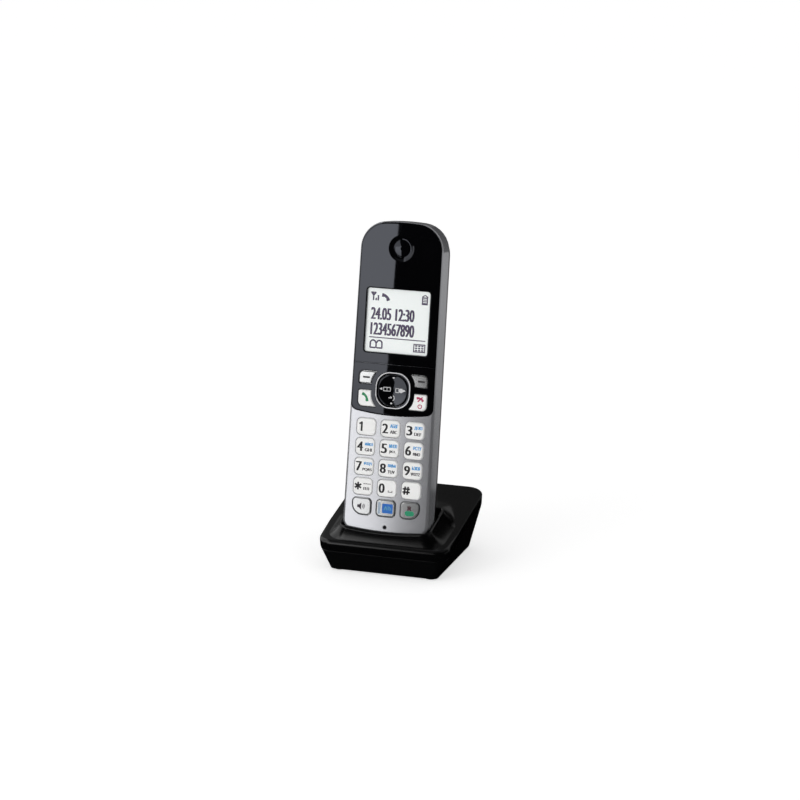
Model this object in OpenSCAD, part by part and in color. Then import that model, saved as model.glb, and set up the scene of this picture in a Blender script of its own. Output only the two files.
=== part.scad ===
// Cordless handset standing in its charging cradle, built as separate pieces.
// Millimetres. The cradle stands on z = 0 and is centred on x = 0 and y = 0; its front faces -Y.
// Handset pieces are drawn in the handset's own frame: x across, y into its depth from the
// front face, z along its length from the microphone hole. in_handset() stands them in the cradle.

/* [Handset] */
// Width across the side walls near the foot
handset_w = 48.8; // [48:0.2:52]
// How much narrower the handset is at the top
top_narrow = 1.9; // [0:0.1:2.2]
// Length from the foot to the top
handset_l = 171.3; // [170.3:0.5:180.3]
// Depth of the silver front case
front_case_d = 12; // [11.5:0.5:14]
// Overall depth at the battery cover
handset_d = 25; // [24.6:0.2:27]
// Radius of the two top corners
top_corner_r = 15; // [13:0.5:19]
// Radius of the two foot corners
foot_corner_r = 6.5; // [5:0.5:9]
// Radius of the shallow curve across the top and across the foot
end_sweep_r = 125; // [100:5:200]
// Wall at the sides of both cases
case_wall = 1.8; // [1.5:0.1:2.2]
// Wall of the keypad face
face_wall = 1.6; // [1.4:0.1:1.8]
// Microphone hole above the foot
mic_height = 4.8; // [4.6:0.1:6]
// Radius of the microphone hole
mic_hole_r = 0.8; // [0.5:0.1:1]

/* [Black panels] */
// Thickness of the two glossy panels
panel_t = 1.5; // [1.3:0.1:1.6]
// Silver edge left outside the panels
panel_rim = 0.5; // [0.4:0.1:0.8]
// Height of the lower panel, around the navigation key
nav_panel_l = 28; // [27:0.5:31]
// Groove between the two panels
panel_groove = 0.4; // [0.3:0.1:0.8]
// Width of the display window
window_w = 35.7; // [32:0.1:36.5]
// Height of the display window
window_h = 34.7; // [30:0.1:36]
// Display window above the groove
window_rise = 6; // [5:0.5:8]
// Centre of the earpiece below the top
ear_drop = 14.5; // [13.9:0.1:16]
// Radius of the earpiece dish
ear_dish_r = 7.5; // [7:0.1:8.5]
// Radius of the earpiece cover
ear_cover_r = 4.6; // [4:0.1:5.2]

/* [Keys] */
// Width of a key opening
key_w = 11; // [10:0.1:11.6]
// Height of a key opening
key_h = 9.4; // [8.8:0.1:9.4]
// Spacing of the three columns
column_pitch = 13.8; // [13.2:0.1:14]
// Spacing of the five rows
row_pitch = 10.9; // [10.8:0.1:11.5]
// Centre of the bottom row above the microphone hole
first_row = 10.5; // [10.3:0.1:11.5]
// Corner radius of a key opening
key_r = 2.4; // [1.5:0.1:3]
// How far the keys stand out of the face
key_proud = 0.6; // [0.3:0.1:1]
// How far a key can be pressed
key_travel = 0.7; // [0.4:0.05:0.8]
// Gap around each key
key_gap = 0.25; // [0.2:0.05:0.35]
// Half the size of the navigation key
nav_half = 8.3; // [8:0.1:9]
// Width of the ring around the navigation key
nav_ring_w = 1.2; // [1:0.1:1.6]
// Outer edge of the soft, talk and off keys from the centre line
side_key_x = 19.6; // [19:0.1:20]
// Height of the soft keys
soft_key_h = 7; // [6:0.1:7.4]
// Height of the talk and off keys
talk_key_h = 8.9; // [8:0.1:9.2]

/* [Inside the handset] */
// Front face of the circuit board behind the front face
board_d = 5; // [4.9:0.1:5.4]
// Thickness of the circuit boards
board_t = 1.2; // [1:0.1:1.6]
// Thickness of the silicone keypad mat
mat_t = 0.8; // [0.6:0.05:0.9]
// Radius of the ringer loudspeaker
ringer_r = 10; // [8:0.5:11]
// Radius of the earpiece loudspeaker
ear_speaker_r = 7.6; // [6.5:0.1:8]
// Shaft radius of the case screws
screw_r = 1.1; // [0.9:0.05:1.2]
// Head radius of the case screws
screw_head_r = 2.2; // [2:0.1:2.3]

/* [Battery] */
// Radius of a AAA cell
cell_r = 5.25; // [5:0.05:5.25]
// Length of a AAA cell with its nipple
cell_l = 44.5; // [43:0.5:45.5]
// Lower end of the battery tray above the microphone hole
tray_rise = 41; // [39:0.5:44]
// Thickness of the battery cover
cover_t = 1.65; // [1.4:0.05:1.8]
// Lower edge of the battery cover above the microphone hole
cover_rise = 30; // [29:0.5:33]
// Length of the battery cover
cover_l = 70; // [66:0.5:72]
// Width of the battery cover
cover_w = 37.2; // [35:0.2:38]
// How far the battery cover slides before it lifts off
cover_travel = 9; // [6:0.5:9]

/* [Cradle] */
// Width of the cradle at its top
cradle_w = 75; // [74:0.2:84]
// Length of the cradle at its top
cradle_l = 73.9; // [73:0.1:84]
// Height of the top at the front edge
cradle_front_h = 17.6; // [17.4:0.1:19]
// Height of the top at the back edge
cradle_back_h = 32.2; // [32:0.1:34]
// Height of the upper cabinet's band
band_h = 6; // [5:0.1:6.5]
// Width of the underside
base_w = 62.1; // [61:0.1:68]
// Length of the underside
base_l = 62.2; // [61:0.1:68]
// How far the underside sits behind the centre
base_shift = -3; // [-3.5:0.1:0]
// Wall of both cabinets
cradle_wall = 1.8; // [1.5:0.1:2]
// How far the handset leans back, in degrees
lean = 11; // [10:0.5:12]
// Front of the handset's foot behind the cradle's front edge
foot_setback = 5.33; // [5.33:0.01:6]
// Height of the handset's foot above the table
foot_h = 21.69; // [21.69:0.01:22.5]
// Height of the collar at its front corners
crest_h = 7.2; // [6.8:0.1:8]
// Height of the collar behind the handset
back_lip_h = 8; // [7:0.5:9]
// Lowest point of the collar's front, measured from the microphone hole
scoop_v = -2.4; // [-3:0.1:-2]
// Gap between the handset and its pocket
pocket_gap = 0.4; // [0.3:0.05:0.6]
// Thickness of the rubber feet below the cradle
foot_t = 0.6; // [0.4:0.1:1]
// Radius of the rubber feet
foot_r = 3.5; // [2.5:0.1:4]
// Bore radius of the power inlet
inlet_r = 2.8; // [2.5:0.05:3]

/* [Hidden] */
$fn = 48;
skin = 0.01;
fit = 0.05;
far = 200;
foot = -mic_height;
head = handset_l - mic_height;
back_face = handset_d - cover_t - fit;
edge_r = 1.4;
edge_half = 0.4;
foot_half = handset_w / 2;
top_half = (handset_w - top_narrow) / 2;

// Keys and panels, from the rows upwards
key_lip = 0.7;
key_lip_t = 0.7;
key_under = face_wall + fit;
key_inside = key_under + key_lip_t;
mat_d = key_inside + key_travel + fit;
panel_foot = first_row + 4 * row_pitch + key_h / 2 + 2.2;
groove_v = panel_foot + nav_panel_l;
panel_half = foot_half - top_narrow / 2 * panel_foot / head;
panel_corner_r = 4;
nav_v = panel_foot + 13.9;
nav_ring_half = nav_half + 0.35 + nav_ring_w;
nav_bay_half = nav_ring_half + 2.35;
soft_key_v = nav_v + 6.2;
talk_key_v = nav_v - 5.25;
side_key_w = 10.6;
key_bay_x = side_key_x + 1.3;
key_bay_low = talk_key_v - talk_key_h / 2 - 1;
key_bay_high = soft_key_v + soft_key_h / 2 + 1;
nav_lip_r = nav_half + 0.9;
nav_tilt = 2;
nav_play = nav_lip_r * sin(1.5 * nav_tilt);
window_v = groove_v + window_rise + window_h / 2;
window_r = 1.5;
ear_v = head - ear_drop;
panel_back = panel_t + face_wall - 0.1;

// Circuit board, screws and loudspeakers
board_back = board_d + board_t;
board_head = ear_v - ear_speaker_r - 1.2;
board_inset = case_wall + 1.8;
screw_low = [13, 2.5];
screw_high = [17.5, board_head - 4.4];
post_r = screw_head_r + 1.2;
screw_seat = 13;
mic_r = 2.6;
ringer_v = 119;
ringer_t = 4.2;
shield_w = 26;
shield_h = 14;
shield_t = 2.4;
shield_v = ringer_v - 18;

// Rear case and battery
rear_wall = 1.7;
rear_inside = back_face - rear_wall;
spring_l = 3.6;
contact_t = 0.4;
tray_in_w = 4 * cell_r + 2.4;
tray_in_l = cell_l + spring_l + 2 * contact_t + 2 * fit;
tray_wall = 1.1;
cell_x = cell_r + 0.35;
cell_d = rear_inside + rear_wall - cell_r - 0.3;
tray_floor = cell_d - cell_r - 0.1;
cover_top = cover_rise + cover_l;
hook_v = [cover_rise + 15, cover_top - 6];
hook_l = 3.6;
hook_x = cover_w / 2 - 2.4;
terminal_x = 5.5;
terminal_v = 3.5;

// Cradle
slope = atan2(cradle_back_h - cradle_front_h, cradle_l);
slope_l = cradle_l / cos(slope);
cradle_edge = 0.6;
scoop_r = 150;
screw_spots = [[22, -13], [22, 17]];
pad_h = 4;
leaf_d = back_face + pocket_gap + cradle_wall + 0.9;
leaf_t = 0.5;
leaf_root_v = -15;
leaf_tip_v = terminal_v - 0.3;
cradle_board_w = 32;
cradle_board_z = 3.2;
cradle_board_y = -9.6;
board_rib_x = cradle_board_w / 2 - 3;
board_ribs = [cradle_board_y + 4, cradle_board_y + 32];
base_back = base_shift + base_l / 2;
inlet_body = [9, 10.4, 9];
inlet_z = cradle_board_z + board_t + inlet_body[2] / 2;
inlet_rise = (inlet_z - foot_t) / (cradle_back_h - band_h - foot_t);
inlet_y = base_back + inlet_rise * (cradle_l / 2 - base_back) - 0.4;

// ---------- shapes used by several pieces ----------

function arc(centre, r, from, to, steps = 8) =
    [for (i = [0:steps]) centre + r * [cos(from + (to - from) * i / steps), sin(from + (to - from) * i / steps)]];

// Rounded rectangle about the origin; radii run from the top right corner anticlockwise
function rounded(w, h, radii) = concat(
    arc([w / 2 - radii[0], h / 2 - radii[0]], radii[0], 0, 90),
    arc([radii[1] - w / 2, h / 2 - radii[1]], radii[1], 90, 180),
    arc([radii[2] - w / 2, radii[2] - h / 2], radii[2], 180, 270),
    arc([w / 2 - radii[3], radii[3] - h / 2], radii[3], 270, 360)
);

// One end of an outline: a corner, a shallow sweep across the width and the other corner
function swept_end(half, tip, sweep_r, corner_r, inset) =
    let (turn = asin((half - corner_r) / (sweep_r - corner_r)),
         low = tip - sweep_r,
         corner = [half - corner_r, low + (sweep_r - corner_r) * cos(turn)])
    concat(
        arc(corner, corner_r - inset, 0, 90 - turn),
        arc([0, low], sweep_r - inset, 90 - turn, 90 + turn, 7),
        arc([-corner[0], corner[1]], corner_r - inset, 90 + turn, 180)
    );

// Outline of the handset seen from the front, drawn in by inset; the top is shortened by drop
// and the foot reaches down again by heel
function case_outline(inset, drop = 0, heel = 0) = concat(
    swept_end(top_half, head - drop, end_sweep_r, top_corner_r, inset),
    -swept_end(foot_half, heel - foot, end_sweep_r, max(foot_corner_r, inset + 1), inset)
);

// Outline of the black panels together, drawn in by inset from the sides and the top of the case
function panel_outline(inset) = concat(
    swept_end(top_half, head, end_sweep_r, top_corner_r, inset),
    -swept_end(panel_half, panel_rim - panel_foot, end_sweep_r, panel_corner_r + panel_rim, inset)
);

// Stands a handset piece in the cradle
module in_handset()
    translate([0, foot_setback - cradle_l / 2, foot_h])
        rotate([-lean, 0, 0])
            translate([0, 0, mic_height])
                children();

// Lays a piece on the cradle's sloping top: y runs up the slope, z stands square on it
module on_slope()
    translate([0, -cradle_l / 2, cradle_front_h])
        rotate([slope, 0, 0])
            children();

// Turns a flat drawing of the front view into a plate that starts at depth
module plate(depth, thick)
    translate([0, depth + thick, 0])
        rotate([90, 0, 0])
            linear_extrude(thick)
                children();

// Round bar or bore along the depth
module rod(x, v, r, from, to)
    translate([x, to, v])
        rotate([90, 0, 0])
            cylinder(r = r, h = to - from);

module block(x, depth, v, w, thick, h)
    translate([x - w / 2, depth, v - h / 2])
        cube([w, thick, h]);

module band_of_height(from, to)
    translate([-far / 2, from])
        square([far, to - from]);

module slice(depth, inset, drop = 0, heel = 0)
    plate(depth, skin)
        polygon(case_outline(inset, drop, heel));

module panel_slice(depth, thick, inset, from, to)
    plate(depth, thick)
        intersection() {
            polygon(panel_outline(inset));
            band_of_height(from, to);
        }

module panel_blank(from, to)
    hull() {
        panel_slice(0, skin, edge_r, from, to);
        panel_slice(edge_half, panel_t - edge_half, panel_rim, from, to);
    }

module nav_square(half)
    translate([0, nav_v])
        polygon(rounded(2 * half, 2 * half, [1, 1, 1, 1] * half * 0.8));

function column_x(column) = (column - 1) * column_pitch;
function row_v(row) = first_row + row * row_pitch;

// Outline of one key opening, grown by extra; the bottom row's outer keys have one big corner
function key_outline(column, row, extra) =
    let (big = row == 0 && column != 1,
         r = key_r + extra,
         swept = key_r + 3.4 + extra)
    rounded(key_w + 2 * extra, key_h + 2 * extra,
        [r, r, big && column == 0 ? swept : r, big && column == 2 ? swept : r]);

module at_key(column, row)
    translate([column_x(column), row_v(row)])
        children();

// A cap with a rounded top edge, and the lip under the face that keeps it in
module key_cap(column, row) {
    hull() {
        plate(-key_proud, skin)
            at_key(column, row)
                polygon(key_outline(column, row, -key_gap - 0.55));
        plate(0.2 - key_proud, skin)
            at_key(column, row)
                polygon(key_outline(column, row, -key_gap - 0.15));
        plate(0.6 - key_proud, key_under + key_proud - 0.6)
            at_key(column, row)
                polygon(key_outline(column, row, -key_gap));
    }
    plate(key_under, key_lip_t)
        at_key(column, row)
            polygon(key_outline(column, row, key_lip - key_gap));
}

module pad_key(column, row)
    color("whitesmoke")
        in_handset()
            key_cap(column, row);

// Outline of a key beside the navigation key; side is -1 on the left and 1 on the right
module side_key_shape(side, v, h, extra, swept_top)
    difference() {
        translate([side * (side_key_x - side_key_w / 2), v])
            polygon(rounded(side_key_w + 2 * extra, h + 2 * extra,
                [side > 0 && swept_top ? 2.6 : 1,
                 side < 0 && swept_top ? 2.6 : 1,
                 side < 0 && !swept_top ? 2.6 : 1,
                 side > 0 && !swept_top ? 2.6 : 1] + [1, 1, 1, 1] * extra * 0.9));
        nav_square(nav_bay_half - extra);
    }

module side_key(side, v, h, swept_top) {
    difference() {
        hull() {
            plate(-key_proud, skin)
                translate([side * (side_key_x - side_key_w / 2), v])
                    square([side_key_w - 1.6, h - 1.6], center = true);
            plate(0.5 - key_proud, key_under + key_proud - 0.5)
                translate([side * (side_key_x - side_key_w / 2), v])
                    polygon(rounded(side_key_w - 2 * key_gap, h - 2 * key_gap,
                        [side > 0 && swept_top ? 2.4 : 0.8,
                         side < 0 && swept_top ? 2.4 : 0.8,
                         side < 0 && !swept_top ? 2.4 : 0.8,
                         side > 0 && !swept_top ? 2.4 : 0.8]));
        }
        plate(-5, 20)
            nav_square(nav_bay_half + key_gap);
    }
    plate(key_under, key_lip_t)
        side_key_shape(side, v, h, key_lip - key_gap, swept_top);
}

// ---------- handset ----------

// Silver front shell with the keypad face, panel recess, screw bosses and microphone cup
module front_case()
    color("silver")
        in_handset()
            difference() {
                union() {
                    difference() {
                        hull() {
                            slice(0, edge_r);
                            slice(edge_half, 0.5);
                            plate(edge_r, front_case_d - edge_r)
                                polygon(case_outline(0));
                        }
                        plate(face_wall, front_case_d)
                            intersection() {
                                polygon(case_outline(case_wall));
                                band_of_height(-far, panel_foot - 1);
                            }
                        plate(panel_back, front_case_d)
                            polygon(case_outline(case_wall));
                        plate(-1, 1 + panel_t)
                            polygon(panel_outline(panel_rim));
                    }
                    for (side = [-1, 1]) {
                        rod(side * screw_low[0], screw_low[1], screw_r + 1.2, face_wall - 0.5, board_d);
                        rod(side * screw_high[0], screw_high[1], screw_r + 1.2, panel_back - 0.5, board_d);
                    }
                    rod(0, 0, mic_r + 1, face_wall - 0.5, board_d - 0.4);
                }
                for (column = [0:2]) {
                    for (row = [0:4]) {
                        plate(-1, face_wall + 2)
                            at_key(column, row)
                                polygon(key_outline(column, row, 0));
                    }
                }
                plate(panel_t - 1, 4)
                    polygon([[-key_bay_x, key_bay_low], [key_bay_x, key_bay_low],
                        [key_bay_x, key_bay_high], [-key_bay_x, key_bay_high]]);
                block(0, panel_t - 1, window_v, window_w + 0.2, 4, window_h + 0.2);
                rod(0, ear_v, ear_cover_r + 1.8, panel_t - 1, panel_back + 1);
                rod(0, 0, mic_hole_r, -1, face_wall + 1);
                rod(0, 0, mic_r + fit, face_wall, board_d);
                for (side = [-1, 1]) {
                    rod(side * screw_low[0], screw_low[1], screw_r + fit, face_wall + 0.8, board_d + 1);
                    rod(side * screw_high[0], screw_high[1], screw_r + fit, face_wall + 0.8, board_d + 1);
                }
            }

// Upper black panel with the display opening and the earpiece dish
module window_panel()
    color("black")
        in_handset()
            difference() {
                panel_blank(groove_v + panel_groove / 2, far);
                plate(-1, panel_t + 2)
                    translate([0, window_v])
                        polygon(rounded(window_w, window_h, [1, 1, 1, 1] * window_r));
                translate([0, -0.01, ear_v])
                    rotate([-90, 0, 0])
                        cylinder(r1 = ear_dish_r, r2 = ear_cover_r + 0.6, h = panel_t - 0.4);
                rod(0, ear_v, ear_cover_r + 0.25, -1, panel_t + 1);
            }

// Clear lens over the display
module display_window()
    color("lavender")
        in_handset()
            plate(0.15, panel_t - 0.15)
                translate([0, window_v])
                    polygon(rounded(window_w - 0.2, window_h - 0.2, [1, 1, 1, 1] * window_r));

// Lower black panel with the openings for the navigation key and the four keys beside it
module nav_panel()
    color("black")
        in_handset()
            difference() {
                panel_blank(0, groove_v - panel_groove / 2);
                plate(-1, panel_t + 2)
                    nav_square(nav_ring_half + fit);
                for (side = [-1, 1]) {
                    plate(-1, panel_t + 2)
                        side_key_shape(side, soft_key_v, soft_key_h, 0, true);
                    plate(-1, panel_t + 2)
                        side_key_shape(side, talk_key_v, talk_key_h, 0, false);
                }
            }

// Bright ring around the navigation key
module nav_ring()
    color("gainsboro")
        in_handset()
            difference() {
                plate(-0.3, panel_t + 0.3)
                    nav_square(nav_ring_half);
                plate(-1, panel_t + 2)
                    nav_square(nav_ring_half - nav_ring_w);
            }

// Four-way key: a dished cap on a round lip that sits behind the ring
module nav_key()
    color("black")
        in_handset()
            difference() {
                union() {
                    plate(-0.5, key_inside + 0.5)
                        nav_square(nav_half);
                    rod(0, nav_v, nav_lip_r, panel_t + nav_play + fit, key_inside + 0.2);
                }
                translate([0, -40.1, nav_v])
                    sphere(r = 40, $fn = 96);
            }

// Small post in the middle that the four-way key rocks on
module nav_pivot()
    color("dimgray")
        in_handset()
            rod(0, nav_v, 1.4, key_inside + 0.26, mat_d - 0.06);

// Disc in the middle of the earpiece dish; sound passes through its holes and around its rim
module earpiece_cover()
    color("black")
        in_handset()
            difference() {
                union() {
                    rod(0, ear_v, ear_cover_r, 0.3, panel_t + 0.1);
                    rod(0, ear_v, ear_cover_r + 1.5, panel_t + fit, panel_back);
                }
                for (turn = [0:60:300])
                    rod(2.6 * cos(turn), ear_v + 2.6 * sin(turn), 0.45, 0, panel_back + 1);
                rod(0, ear_v, 0.45, 0, panel_back + 1);
            }

module earpiece_speaker()
    color("darkslategray")
        in_handset() {
            rod(0, ear_v, ear_speaker_r, panel_back + fit, panel_back + 1.6);
            rod(0, ear_v, ear_speaker_r - 1.6, panel_back + 1.5, panel_back + 3.4);
        }

// Display glass, reaching forward through the case to the lens
module lcd_module()
    color("honeydew")
        in_handset()
            block(0, panel_t + fit, window_v, window_w - 0.3, panel_back - panel_t + 0.5, window_h - 0.3);

// White frame that lights the display from behind and holds it on the board
module light_guide()
    color("white")
        in_handset()
            block(0, panel_back + fit + 0.5, window_v, window_w + 2.6, board_d - panel_back - fit - 0.55,
                window_h + 2.6);

module soft_key_left()
    color("gainsboro")
        in_handset()
            side_key(-1, soft_key_v, soft_key_h, true);

module soft_key_right()
    color("gainsboro")
        in_handset()
            side_key(1, soft_key_v, soft_key_h, true);

module talk_key()
    color("white")
        in_handset()
            side_key(-1, talk_key_v, talk_key_h, false);

module off_key()
    color("white")
        in_handset()
            side_key(1, talk_key_v, talk_key_h, false);

// Silicone mat over the board, with a contact pill behind every key and a rim that rests on the board
module keypad_mat()
    color("lightgray")
        in_handset() {
            low = row_v(0) - key_h / 2 - 0.8;
            high = key_bay_high + 1;
            width = 2 * key_bay_x;
            difference() {
                block(0, mat_d, (low + high) / 2, width, board_d - mat_d, high - low);
                block(0, mat_d + mat_t, (low + high) / 2, width - 2, board_d, high - low - 2);
            }
            for (column = [0:2]) {
                for (row = [0:4])
                    rod(column_x(column), row_v(row), 2, mat_d + mat_t - 0.1, board_d - 0.6);
            }
            for (side = [-1, 1]) {
                rod(side * 16, soft_key_v, 1.6, mat_d + mat_t - 0.1, board_d - 0.6);
                rod(side * 16, talk_key_v, 1.6, mat_d + mat_t - 0.1, board_d - 0.6);
                rod(side * 6.4, nav_v, 1.2, mat_d + mat_t - 0.1, board_d - 0.6);
                rod(0, nav_v + side * 6.4, 1.2, mat_d + mat_t - 0.1, board_d - 0.6);
            }
        }

module main_board()
    color("darkgreen")
        in_handset()
            difference() {
                plate(board_d, board_t)
                    intersection() {
                        polygon(case_outline(board_inset));
                        band_of_height(-far, board_head);
                    }
                for (side = [-1, 1]) {
                    rod(side * screw_low[0], screw_low[1], screw_r + 0.3, 0, far);
                    rod(side * screw_high[0], screw_high[1], screw_r + 0.3, 0, far);
                }
            }

// Metal can over the radio circuit
module rf_shield()
    color("lightsteelblue")
        in_handset()
            difference() {
                block(0, board_back, shield_v, shield_w, shield_t, shield_h);
                block(0, board_back - 1, shield_v, shield_w - 1, shield_t + 0.6, shield_h - 1);
            }

// Bent metal strip soldered to the top of the board
module antenna()
    color("goldenrod")
        in_handset() {
            block(0, board_back, board_head - 2.5, 18, 0.4, 3);
            block(0, board_back, board_head - 1.2, 18, 4, 0.4);
        }

module microphone()
    color("dimgray")
        in_handset()
            rod(0, 0, mic_r, face_wall + fit, board_d - 0.8);

// Black rear shell: battery tray, screw posts, ringer ring and slots, seats for the charge terminals
module rear_case()
    color([0.08, 0.08, 0.09])
        in_handset()
            difference() {
                union() {
                    difference() {
                        hull() {
                            slice(front_case_d, 0);
                            slice(17, 1, 2, 0.6);
                            slice(21, 2.8, 8, 1.6);
                            slice(back_face, 5.2, 16, 2.8);
                            slice(handset_d - skin, 7.6, 30, 4.4);
                        }
                        hull() {
                            slice(front_case_d - 0.1, case_wall, 0);
                            slice(17, case_wall + 1, 2.4, 0.6);
                            slice(20, 4.2, 6, 1.4);
                            slice(rear_inside, 6.8, 16, 2.8);
                        }
                        translate([-far / 2, back_face, -far / 2])
                            cube([far, far, far / 2 + cover_top + fit]);
                    }
                    block(0, tray_floor - 1, tray_rise + tray_in_l / 2, tray_in_w + 2 * tray_wall,
                        back_face - tray_floor + 1, tray_in_l + 2 * tray_wall);
                    for (side = [-1, 1]) {
                        rod(side * screw_low[0], screw_low[1], post_r, board_back + fit, rear_inside + 0.5);
                        rod(side * screw_high[0], screw_high[1], post_r, board_back + fit, 20.5);
                    }
                    difference() {
                        rod(0, ringer_v, ringer_r + 1.3, rear_inside - ringer_t, rear_inside + 0.5);
                        rod(0, ringer_v, ringer_r + 0.2, 0, rear_inside);
                    }
                }
                block(0, tray_floor, tray_rise + tray_in_l / 2, tray_in_w, far, tray_in_l);
                for (side = [-1, 1]) {
                    for (spot = [screw_low, screw_high]) {
                        rod(side * spot[0], spot[1], screw_r + 0.15, 0, screw_seat + 1);
                        rod(side * spot[0], spot[1], screw_head_r + 0.2, screw_seat, far);
                    }
                    for (v = hook_v) {
                        block(side * hook_x, rear_inside - 1, v - cover_travel / 2, 1.8, 4,
                            hook_l + cover_travel + 0.8);
                        block(side * (hook_x - 0.4), rear_inside - 1, v - cover_travel, 2.8, 4, hook_l + 0.8);
                    }
                    block(side * terminal_x, back_face - 0.6, terminal_v, 4.1, 2, 8.1);
                    block(side * terminal_x, 15, terminal_v + 3.7, 4.1, 10, 0.7);
                }
                for (i = [-3:3])
                    block(0, rear_inside - 1, ringer_v + i * 2.4, 2 * sqrt(81 - pow(i * 2.4, 2)), 9, 1);
            }

module ringer_speaker()
    color("dimgray")
        in_handset()
            difference() {
                union() {
                    rod(0, ringer_v, ringer_r, rear_inside - 1.6, rear_inside - fit);
                    rod(0, ringer_v, ringer_r - 2.4, rear_inside - ringer_t, rear_inside - 1.5);
                }
                rod(0, ringer_v, ringer_r - 1, rear_inside - 0.8, rear_inside);
            }

// Raised cover on the back with four hooks; it slides down over the case, then lifts off
module battery_cover()
    color([0.08, 0.08, 0.09])
        in_handset() {
            mid = cover_rise + cover_l / 2;
            difference() {
                hull() {
                    plate(back_face + fit, skin)
                        translate([0, mid])
                            polygon(rounded(cover_w, cover_l, [0.5, 0.5, 7, 7]));
                    plate(handset_d - 0.7, skin)
                        translate([0, mid + 0.4])
                            polygon(rounded(cover_w - 1.8, cover_l - 0.8, [0.5, 0.5, 6, 6]));
                    plate(handset_d - skin, skin)
                        translate([0, mid + 1.2])
                            polygon(rounded(cover_w - 5, cover_l - 2.4, [0.5, 0.5, 5, 5]));
                }
                for (i = [0:3])
                    block(0, handset_d - 0.4, cover_top - 6 - i * 2, 12 - i * 2, 1, 0.9);
            }
            for (side = [-1, 1]) {
                for (v = hook_v) {
                    block(side * hook_x, rear_inside - 0.7, v, 1.2, rear_wall + 1, hook_l);
                    block(side * (hook_x - 0.7), rear_inside - 0.7, v, 1.6, 0.6, hook_l);
                }
            }
        }

// One AAA cell standing on its flat end
module cell() {
    cylinder(r = cell_r, h = cell_l - 1);
    cylinder(r = 1.9, h = cell_l);
}

module batteries()
    color("steelblue")
        in_handset() {
            translate([-cell_x, cell_d, tray_rise + contact_t + spring_l + fit])
                cell();
            translate([cell_x, cell_d, tray_rise + tray_in_l - contact_t - spring_l - fit])
                rotate([180, 0, 0])
                    cell();
        }

// A plate with a coil of touching rings, for the flat end of a cell
module spring_contact() {
    translate([-3.2, -3.2, 0])
        cube([6.4, 6.4, contact_t]);
    for (i = [0:5])
        translate([0, 0, contact_t + 0.25 + i * 0.6])
            rotate_extrude()
                translate([2.6, 0])
                    circle(r = 0.34, $fn = 16);
}

module flat_contact()
    translate([-3.2, -3.2, 0])
        cube([6.4, 6.4, contact_t]);

module battery_contacts()
    color("gold")
        in_handset()
            for (side = [-1, 1])
                translate([side * cell_x, cell_d, tray_rise + tray_in_l / 2])
                    mirror([0, 0, side > 0 ? 1 : 0])
                        translate([0, 0, -tray_in_l / 2]) {
                            spring_contact();
                            translate([0, 0, tray_in_l - contact_t])
                                flat_contact();
                        }

// Two plates flush with the back of the foot, with tails that run in to the board
module charge_terminals()
    color("gold")
        in_handset()
            for (side = [-1, 1]) {
                block(side * terminal_x, back_face - 0.6, terminal_v, 4, 0.6, 8);
                block(side * terminal_x, board_back + fit, terminal_v + 3.75, 4,
                    back_face - board_back - fit - 0.3, 0.5);
            }

module handset_screws()
    color("darkgray")
        in_handset()
            for (side = [-1, 1])
                for (spot = [screw_low, screw_high])
                    difference() {
                        union() {
                            rod(side * spot[0], spot[1], screw_r, face_wall + 1, screw_seat + 0.5);
                            rod(side * spot[0], spot[1], screw_head_r, screw_seat, screw_seat + 1.5);
                        }
                        block(side * spot[0], screw_seat + 0.8, spot[1], 0.6, 2, 2.6);
                        block(side * spot[0], screw_seat + 0.8, spot[1], 2.6, 2, 0.6);
                    }

// ---------- cradle ----------

// Plan of the cradle's top, drawn in by inset; the two back corners are rounder
module cradle_plan(inset)
    translate([0, slope_l / 2])
        polygon(rounded(cradle_w - 2 * inset, slope_l - 2 * inset, [9.9, 9.9, 7.5, 7.5] - [1, 1, 1, 1] * inset * 0.8));

module cradle_slice(inset, drop)
    translate([0, 0, -drop])
        on_slope()
            linear_extrude(skin)
                cradle_plan(inset);

module base_slice(inset, z)
    translate([0, base_shift, z])
        linear_extrude(skin)
            polygon(rounded(base_w - 2 * inset, base_l - 2 * inset, [1, 1, 1, 1] * (3 - inset / 2)));

// Rings of round corners that the collar is stretched over, from its spread foot on the slope to
// its crest around the handset: half width, distance up the slope, radius and height of each corner
collar_foot = [[24, 10.4, 9.2, 0], [30.5, 27.8, 3, 0], [19.5, 49.4, 6.3, 0]];
collar_flare = [[23.6, 9, 7.2, 1.1], [27.2, 28, 3, 1.6], [19, 44, 5, 1.6]];
collar_shoulder = [[23.3, 8, 5.3, 3], [24.6, 29, 3.4, 3.4], [20.6, 36, 4.4, 3.4]];
collar_root = [[23.1, 5.9, 4, 0], [23.1, 28.9, 4, 0]];
collar_crest = [[23.1, 8.9, 4, crest_h], [23.1, 32.2, 4, back_lip_h]];

module collar_corners(corners, sink, shrink)
    for (side = [-1, 1])
        for (p = corners)
            translate([side * p[0], p[1], p[3] - sink])
                cylinder(r = p[2] - shrink, h = skin, $fn = 32);

// The collar spreads out over the slope, hugs the handset and is scooped out at the front
module collar()
    difference() {
        on_slope() {
            hull() {
                collar_corners(collar_foot, 0.5, 0);
                collar_corners(collar_foot, 0, 0);
                collar_corners(collar_flare, 0, 0);
            }
            hull() {
                collar_corners(collar_flare, 0.4, 0);
                collar_corners(collar_shoulder, 0, 0);
            }
            hull() {
                collar_corners(collar_root, 0.5, 0);
                collar_corners(collar_crest, 0.7, 0);
                collar_corners(collar_crest, 0, 0.7);
            }
        }
        in_handset()
            rod(0, scoop_v + scoop_r, scoop_r, -20, 0.2);
    }

// The space that the handset's foot slides into, grown by extra
module pocket(extra, height)
    in_handset()
        plate(-extra, back_face + 2 * extra)
            intersection() {
                polygon(case_outline(-extra));
                band_of_height(-far, height);
            }

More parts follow.
